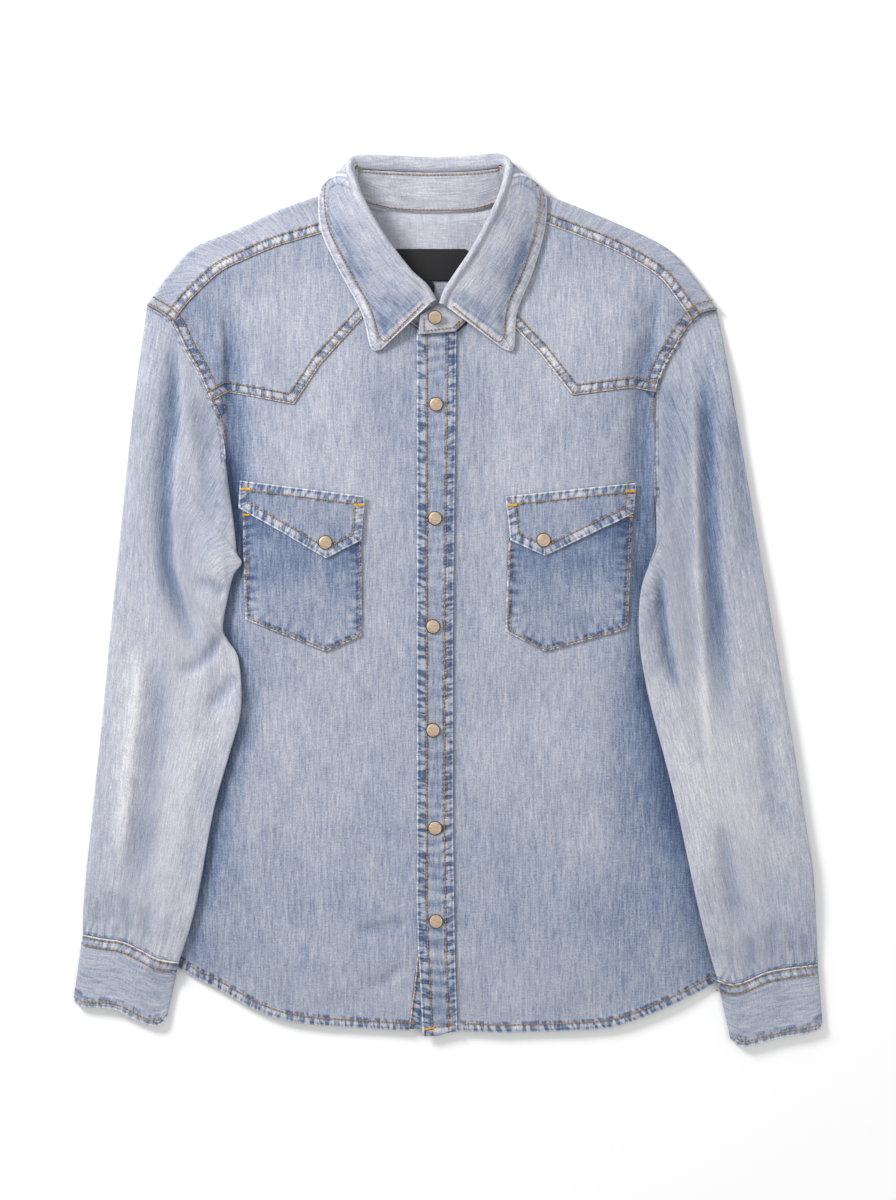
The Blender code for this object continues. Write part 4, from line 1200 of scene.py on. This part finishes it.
def build_sleeve(name, outer, inner, outline, cuff_top, armpit):
    """A flattened tube from the armhole to the cuff's top line, with gathers above the cuff."""
    count = SLEEVE_ROWS
    outer_line, inner_line = curve_of(outer, 400), curve_of(inner, 400)
    armhole = evenly(outline[outline[:, 1] >= armpit][::-1], 120)
    cuff_line = curve_of(cuff_top, 120)
    rows = []
    for t in np.linspace(0, 1, count):
        ox, oy = along(outer_line, t)
        ix, iy = along(inner_line, t)
        from_armhole = 1 - smooth(t / 0.22)
        to_cuff = smooth((t - 0.9) / 0.1)

        def plan(s):
            ax, ay = along(armhole, s)
            cx, cy = along(cuff_line, s)
            x = ox + (ix - ox) * s
            y = oy + (iy - oy) * s
            x = x + (ax - armhole[0, 0] - (armhole[-1, 0] - armhole[0, 0]) * s) * from_armhole
            y = y + (ay - armhole[0, 1] - (armhole[-1, 1] - armhole[0, 1]) * s) * from_armhole
            x = x + (cx - cuff_line[0, 0] - (cuff_line[-1, 0] - cuff_line[0, 0]) * s) * to_cuff
            y = y + (cy - cuff_line[0, 1] - (cuff_line[-1, 1] - cuff_line[0, 1]) * s) * to_cuff
            return x, y

        def base(x, y, s):
            at_seam = (SIDE_EDGE_TOP + 0.6) * smooth((s - 0.75) / 0.2)
            blend = 1 - smooth(t / 0.045)
            return at_seam * blend + sleeve_base(x, y) * (1 - blend)

        height = ARMHOLE_EDGE_TOP - 0.7 + (SLEEVE_HEIGHT - ARMHOLE_EDGE_TOP + 0.7) * smooth(t / 0.12)
        height = height + (CUFF_HEIGHT - 0.4 - height) * to_cuff
        rows.append(np.stack(tube_ring(plan, height, base), axis=-1))
    grid = np.array(rows)
    x, y, z, lift = (grid[..., k] for k in range(4))
    upper = smooth(lift * 1.6)
    sunk = crease_field(SLEEVE_CREASES, x, y)
    soft = 0.7 * noise_2d(x * 1.3, y * 0.6, 40, 21) + 0.35 * noise_2d(x * 1.4, y * 0.6, 18, 22)
    soft += 0.14 * noise_2d(x, y, 8, 23)
    z = z - (sunk - soft) * upper
    under = smooth(-lift * 1.6)
    z = z + under * np.clip(0.9 * noise_2d(x, y * 0.4, 34, 25), 0, 1)
    z = np.maximum(z, 0.0)
    armhole_gap, armhole_run, _, _ = distance_to(armhole, x, y)
    cuff_gap, cuff_run, _, _ = distance_to(cuff_line, x, y)
    edge = np.minimum(armhole_gap * 2.2 + 2.0, cuff_gap * 2.4 + 1.5)
    run = np.where(armhole_gap < cuff_gap, armhole_run, cuff_run + 900)
    z = z + upper * 0.9 * ripple(cuff_run, 7.5, 31) * np.exp(-((cuff_gap / 13) ** 2))
    around = run_along(np.stack([x, y, z], -1)[count // 2])
    length = np.linspace(0, 600, count)
    share = (1 - np.cos(np.linspace(0, 2 * np.pi, AROUND, endpoint=False))) / 2
    bias = 0.45 * np.minimum(length, 150)[:, None] * smooth((share - 0.3) / 0.5)[None, :]
    uv = np.stack(np.broadcast_arrays(around[None, :] + bias, length[:, None]), axis=-1) * MM
    # Painted shade in the creases' troughs and painted highlight on their ridges.
    tone = -0.08 * np.clip(sunk, 0, 5) * upper + 0.09 * np.clip(-sunk, 0, 2.4) * upper
    above_cuff = np.exp(-((cuff_gap / 13) ** 2)) * upper
    gather = ripple(cuff_run + 1.5 * noise_2d(x, y, 12, 33), 7.5, 31)
    # Painted highlight on the gathers' crests and painted shade in their troughs, and a painted shade line
    # where the sleeve meets the cuff.
    tone = tone + 0.26 * gather * above_cuff - 0.30 * np.exp(-((cuff_gap / 2.4) ** 2)) * (0.8 + 0.4 * gather)
    tone = tone + 0.10 * noise_2d(x, y * 0.35, 60, 27)
    tone = tone + 0.22 * np.exp(-(((y + 150) / 110) ** 2)) * np.exp(-(((lift - 1) / 0.8) ** 2)) * 0.6
    is_right = outer[0].x < 0
    fields = (tone, edge, run)
    grid_piece(name, (x, y, z), uv, fields, sleeve_denim, around=0, flip=is_right)
    inward = 1 if is_right else -1
    band_end = BAND_END_RIGHT_Y if is_right else BAND_END_LEFT_Y
    corner_y = (SHOULDER_SEAM_RIGHT if is_right else SHOULDER_SEAM_LEFT)[-1].y
    for distance, end in ((1.8, band_end - 30), (8.4, band_end)):
        line = offset_curve(armhole, inward * distance)[1:]
        line = line[line[:, 1] > end]
        on_strip = smooth((line[:, 1] - corner_y + 8) / 8)
        stitch(name, on_body(line, 0.75 + 1.3 * on_strip))


def build_cuff(name, top, bottom):
    """A flattened tube whose warp runs round the wrist."""
    top_line, bottom_line = curve_of(top, 120), curve_of(bottom, 120)
    rows = []
    shares = np.concatenate([np.linspace(0, 0.94, 34), [0.965, 0.985, 1.0]])
    for t in shares:

        def plan(s):
            tx, ty = along(top_line, s)
            bx, by = along(bottom_line, s)
            return tx + (bx - tx) * t, ty + (by - ty) * t

        rows.append(np.stack(tube_ring(plan, CUFF_HEIGHT, lambda x, y, s: sleeve_base(x, y)), axis=-1))
    grid = np.array(rows)
    x, y, z, lift = (grid[..., k] for k in range(4))
    upper = smooth(lift * 1.6)
    top_gap, top_run, _, _ = distance_to(top_line, x, y)
    low_gap, low_run, _, _ = distance_to(bottom_line, x, y)
    edge = np.minimum(top_gap, low_gap)
    run = np.where(top_gap < low_gap, top_run, low_run + 700)
    z = z + upper * (rope(edge, run, 0.45) + 0.4 * noise_2d(x, y, 26, 41))
    z = np.maximum(z, 0.0)
    around = run_along(np.stack([x, y], -1)[10])
    uv = np.stack(np.broadcast_arrays(shares[:, None] * 58.0, around[None, :]), axis=-1) * MM
    fields = (0.06 + 0.05 * noise_2d(x, y, 22, 43), edge, run)
    flip = top[0].x < 0
    grid_piece(name, (x, y, z), uv, fields, trim_denim, CUFF_WALL, around=1, flip=flip)
    side = -1 if flip else 1
    ends = slice(3, -3)
    for line, distance in ((top_line, 1.4), (top_line, 8.4), (bottom_line, -4.8)):
        path = offset_curve(line, side * distance)[ends]
        height = sleeve_base(path[:, 0], path[:, 1]) + CUFF_HEIGHT + 0.5
        stitch(name, np.column_stack([path, height]))


# ---------------------------------------------------------------- collar

COLLAR_STEPS = 14


def collar_lines():
    """Dense rows for each collar place: neck, leaf seam, stand top, fold and leaf edge."""
    table = [[*row.neck, *row.roll, *row.edge, row.turn, row.drop] for row in COLLAR]
    rows = spline(table, (len(COLLAR) - 1) * COLLAR_STEPS + 1)
    neck, roll, edge = rows[:, 0:3], rows[:, 3:6], rows[:, 6:9]
    turn, drop = np.radians(rows[:, 9:10]), rows[:, 10:11]
    ahead = np.gradient(roll[:, :2], axis=0)
    ahead /= np.linalg.norm(ahead, axis=1)[:, None]
    out = np.column_stack([-ahead[:, 1], ahead[:, 0], 0 * ahead[:, 0]])
    up = np.array((0.0, 0.0, 1.0))
    tip = out * np.cos(turn) + up * np.sin(turn)
    inner = up * np.cos(turn) - out * np.sin(turn)
    bend = []
    for angle in np.radians(np.linspace(90, -90, 11)):
        bend.append(roll + ROLL_RADIUS * (tip * (np.cos(angle) - 1) + inner * np.sin(angle)))
    seam = bend[0] - tip * drop
    stand_top = seam - tip * (0.4 + 2.2 * np.sin(turn))
    return neck, seam, stand_top, bend, edge, turn


def build_collar_leaf(seam, bend, edge, turn):
    """The leaf: up inside from its seam, over the roll and down to its edge."""
    fall_shares = np.linspace(0, 1, 30)[1:]
    belly = 1.6 * np.sin(turn)
    fall = []
    for share in fall_shares:
        place = bend[-1] + (edge - bend[-1]) * share
        place = place + np.array((0, 0, 1.0)) * (belly * np.sin(np.pi * share))
        fall.append(place)
    inner_rows = [seam + (bend[0] - seam) * share for share in (0, 0.5)]
    columns = np.stack([*inner_rows, *bend, *fall], axis=1)
    x, y, z = (columns[..., k] for k in range(3))
    standing = smooth((z - 6) / 6)
    outline = np.concatenate([columns[0, 12:], edge, columns[-1, 12:][::-1]])[:, :2]
    gap, run, _, _ = distance_to(outline[::3], x, y)
    is_fall = (np.arange(columns.shape[1]) >= 14)[None, :] * np.ones_like(x)
    border = np.where(is_fall > 0, gap, 60.0)
    sunk = crease_field(COLLAR_CREASES, x, y)
    z = z - sunk * standing * smooth(gap / 5) * is_fall
    z = z + is_fall * standing * (rope(border, run, 0.35, band=8.5) + 0.35 * noise_2d(x, y, 17, 51))
    columns = np.stack([x, y, z], axis=-1)
    steps = np.linalg.norm(np.diff(columns, axis=1), axis=2)
    down = np.concatenate([np.zeros((len(steps), 1)), np.cumsum(steps, axis=1)], axis=1)
    mid = edge[:, :2] * 0.5 + bend[-1][:, :2] * 0.5
    length = run_along(mid)
    uv = np.stack([down, np.broadcast_to(length[:, None], down.shape)], axis=-1) * MM
    # Painted highlight along the roll's crest.
    painted_roll_highlight = np.exp(-(((down - 12) / 16) ** 2))
    inset = np.exp(-(((border - 14) / 6) ** 2)) * (0.7 + 0.5 * noise_2d(x, y, 13, 53))
    tone = 0.10 * painted_roll_highlight - 0.20 * inset * standing * (1 - 0.6 * smooth((y - 305) / 40))
    # Painted shade in the collar's creases.
    tone = tone - 0.13 * np.clip(sunk, 0, 2)
    at_front = 1 - smooth((y - 305) / 40)
    tone = tone + 0.20 * (1 - smooth((border - 5) / 4)) * at_front + 0.07 * noise_2d(x, y, 24, 52)
    # Painted highlight on the standing part inside the roll.
    tone = tone + 0.03 * (1 - is_fall)
    grid_piece("collar_leaf", (x, y, z), uv, (tone, border, run), collar_denim, COLLAR_WALL, 0.0, flip=True)
    front_a = columns[6, 15:36]
    along_edge = columns[6:-6, 36] * 1.0
    front_b = columns[-7, 15:36][::-1]
    path = np.concatenate([front_a, along_edge[2:-2], front_b])
    for half in (path[path[:, 0] < -12], path[path[:, 0] >= -12]):
        half = half[half[:, 2] > 7.5]
        half[:, 2] += COLLAR_WALL / 2 + 0.35
        stitch("collar_leaf", half)


def build_collar_stand(neck, stand_top):
    """The standing band, with the two tab ends that the top snap holds together."""
    ends = np.stack([neck, stand_top], axis=1)
    tab_under = np.array(UNDER_TAB_END, float)
    tab_over = np.array(OVER_TAB_END, float)
    lead = [tab_under + (ends[0] - tab_under) * share for share in np.linspace(0, 1, 13)[:-1]]
    tail = [ends[-1] + (tab_over - ends[-1]) * share for share in np.linspace(0, 1, 13)[1:]]
    ends = np.concatenate([np.array(lead), ends, np.array(tail)])
    share = np.linspace(0, 1, 16)[None, :, None]
    columns = ends[:, 0][:, None] * (1 - share) + ends[:, 1][:, None] * share
    x, y, z = (columns[..., k] for k in range(3))
    z = z + 0.3 * noise_2d(x, y, 14, 61)
    columns = np.stack([x, y, z], axis=-1)
    length = run_along(ends[:, 0])
    height = np.linalg.norm(ends[:, 1] - ends[:, 0], axis=1)
    down = share[..., 0] * height[:, None]
    uv = np.stack([down, np.broadcast_to(length[:, None], down.shape)], axis=-1) * MM
    border = np.minimum(down, height[:, None] - down)
    from_end = np.minimum(length, length[-1] - length)[:, None]
    border = np.minimum(border, from_end)
    tone = 0.14 + 0.04 * noise_2d(x, y, 12, 62)
    edge = np.where(down < 2.2, down + 0.5, border + 7.5)
    fields = (tone, edge, length[:, None] + 0 * down)
    grid_piece("collar_stand", (x, y, z), uv, fields, collar_denim, COLLAR_WALL, 0.0, flip=True)
    lift = np.array((0, 0, COLLAR_WALL / 2 + 0.3))
    stitch("collar_stand", columns[14:-14, 1] + lift)
    at_nape = columns[(np.abs(columns[:, -1, 0] + 14) < 74) & (columns[:, -1, 1] > 368)]
    stitch("collar_stand", at_nape[:, -2] + lift)
    tab = np.concatenate([columns[-22:-3, 2], columns[-3, 2:13]])
    stitch("collar_stand", tab + lift)


# ---------------------------------------------------------------- label and snaps


def build_label(name, left, right, bottom, top):
    """A blank label with rounded top corners."""
    x, v = np.meshgrid(np.linspace(left, right, 60), np.linspace(0, 1, 30))
    from_side = np.minimum(x - left, right - x)
    corner = np.minimum(4.0, (right - left) / 3)
    rounding = corner - np.sqrt(np.maximum(corner**2 - np.maximum(corner - from_side, 0) ** 2, 0))
    y = bottom + v * (top - rounding - bottom)
    x = x + 0.5 * noise_2d(y, 0 * y, 14, 71)
    z = 1.9 + 0.35 * smooth(noise_2d(x, y, 22, 72)) + 0 * x
    grid_piece(name, (x, y, z), None, (), black_label, LABEL_WALL, 1.0)


def build_snaps():
    """All snap caps in one mesh: a rolled rim round a slightly domed, brushed face."""
    profile = (
        (0.0, 1.75),
        (2.0, 1.72),
        (4.0, 1.58),
        (5.0, 1.40),
        (5.35, 1.22),
        (5.6, 1.25),
        (5.95, 1.20),
        (6.2, 0.9),
        (6.25, 0.45),
        (6.0, 0.1),
        (5.2, 0.0),
        (0.0, 0.0),
    )
    around = 40
    angle = np.linspace(0, 2 * np.pi, around, endpoint=False)
    points, faces = [], []
    for snap in SNAPS:
        lift = PLACKET_LIFT if snap.lift == "placket" else FLAP_LIFT
        height = body_top(np.array(snap.x), np.array(snap.y)) + lift + WALL + 0.3
        centre = np.array((snap.x, snap.y, float(height)))
        add_cap(points, faces, profile, angle, centre, 0.0)
    add_cap(points, faces, profile, angle, np.array(COLLAR_SNAP), COLLAR_SNAP_TILT)
    faces = np.array(faces)
    radii = np.repeat([radius for radius, _ in profile], around)
    fields = {"rim": np.tile(radii, len(SNAPS) + 1)}
    piece = new_object("snap_caps", np.array(points), faces, np.zeros((len(faces), 4, 2)), fields, brass)
    names = [f"snap_placket_{number}" for number in range(1, 7)]
    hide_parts(*names, "snap_flap_right", "snap_flap_left", "snap_collar")


def add_cap(points, faces, profile, angle, centre, tilt):
    start = len(points)
    count = len(angle)
    for radius, height in profile:
        radius = max(radius, 0.05)
        for a in angle:
            x, y = radius * np.cos(a), radius * np.sin(a)
            turned = (x, y * np.cos(tilt) - height * np.sin(tilt), y * np.sin(tilt) + height * np.cos(tilt))
            points.append(centre + np.array(turned))
    for ring in range(len(profile) - 1):
        for step in range(count):
            after = (step + 1) % count
            low = start + ring * count
            faces.append((low + step, low + count + step, low + count + after, low + after))


# ---------------------------------------------------------------- build

build_back()
build_back_yoke()
build_fronts()
build_front_yokes()
build_plackets()
build_patch("pocket_right", POCKET_RIGHT, PATCH_LIFT, 1.9)
build_patch("pocket_left", POCKET_LEFT, PATCH_LIFT, 1.9)
build_patch("flap_right", FLAP_RIGHT, FLAP_LIFT, 7.8)
build_patch("flap_left", FLAP_LEFT, FLAP_LIFT, 7.8)
for name, outer, inner, outline, cuff_top, armpit in (
    ("sleeve_right", SLEEVE_OUTER_RIGHT, SLEEVE_INNER_RIGHT, side_right, CUFF_TOP_RIGHT, ARMPIT_RIGHT_Y),
    ("sleeve_left", SLEEVE_OUTER_LEFT, SLEEVE_INNER_LEFT, side_left, CUFF_TOP_LEFT, ARMPIT_LEFT_Y),
):
    build_sleeve(name, outer, inner, outline, cuff_top, armpit)
build_cuff("cuff_right", CUFF_TOP_RIGHT, CUFF_BOTTOM_RIGHT)
build_cuff("cuff_left", CUFF_TOP_LEFT, CUFF_BOTTOM_LEFT)
neck, seam, stand_top, bend, edge, turn = collar_lines()
build_collar_leaf(seam, bend, edge, turn)
build_collar_stand(neck, stand_top)
build_label("neck_label", -48.5, 18.3, 277.8, 305.7)
build_label("size_tab", -21.0, -12.0, 268.0, 277.4)
build_snaps()
stitches = {name: build_stitches("stitches_" + name, runs) for name, runs in stitch_runs.items()}

# ---------------------------------------------------------------- stage

FLOOR_HALF = 3.0
FLOOR_Z = -0.0002
floor_mesh = bpy.data.meshes.new("floor")
floor_corners = [(a * FLOOR_HALF, b * FLOOR_HALF, FLOOR_Z) for a, b in ((-1, -1), (1, -1), (1, 1), (-1, 1))]
floor_mesh.from_pydata(floor_corners, [], [(0, 1, 2, 3)])
floor = bpy.data.objects.new("floor", floor_mesh)
bpy.context.scene.collection.objects.link(floor)
floor_material = bpy.data.materials.new("floor_paper")
floor_material.use_nodes = True
floor_shader = floor_material.node_tree.nodes["Principled BSDF"]
floor_shader.inputs["Base Color"].default_value = (0.96, 0.96, 0.96, 1)
floor_shader.inputs["Roughness"].default_value = 0.95
floor_mesh.materials.append(floor_material)


def add_light(name, place, size, energy):
    light = bpy.data.lights.new(name, "AREA")
    light.shape = "DISK"
    light.size = size
    light.energy = energy
    lamp = bpy.data.objects.new(name, light)
    lamp.location = place
    aim = Vector((0, 0, 0)) - lamp.location
    lamp.rotation_euler = aim.to_track_quat("-Z", "Y").to_euler()
    bpy.context.scene.collection.objects.link(lamp)


add_light("key", (-1.7, 1.5, 1.35), 0.9, 68)
add_light("fill", (1.6, -0.6, 2.2), 1.8, 12)

world = bpy.data.worlds.new("studio")
world.use_nodes = True
world.node_tree.nodes["Background"].inputs["Color"].default_value = (1, 1, 1, 1)
world.node_tree.nodes["Background"].inputs["Strength"].default_value = 0.58
bpy.context.scene.world = world
bpy.context.scene.view_settings.view_transform = "Standard"

camera_data = bpy.data.cameras.new("camera")
camera_data.lens = 100.0
camera_data.sensor_width = 36.0
camera_data.clip_end = 20.0
camera = bpy.data.objects.new("camera", camera_data)
camera.location = (0.0, 0.0, 2.905)
bpy.context.scene.collection.objects.link(camera)
bpy.context.scene.camera = camera
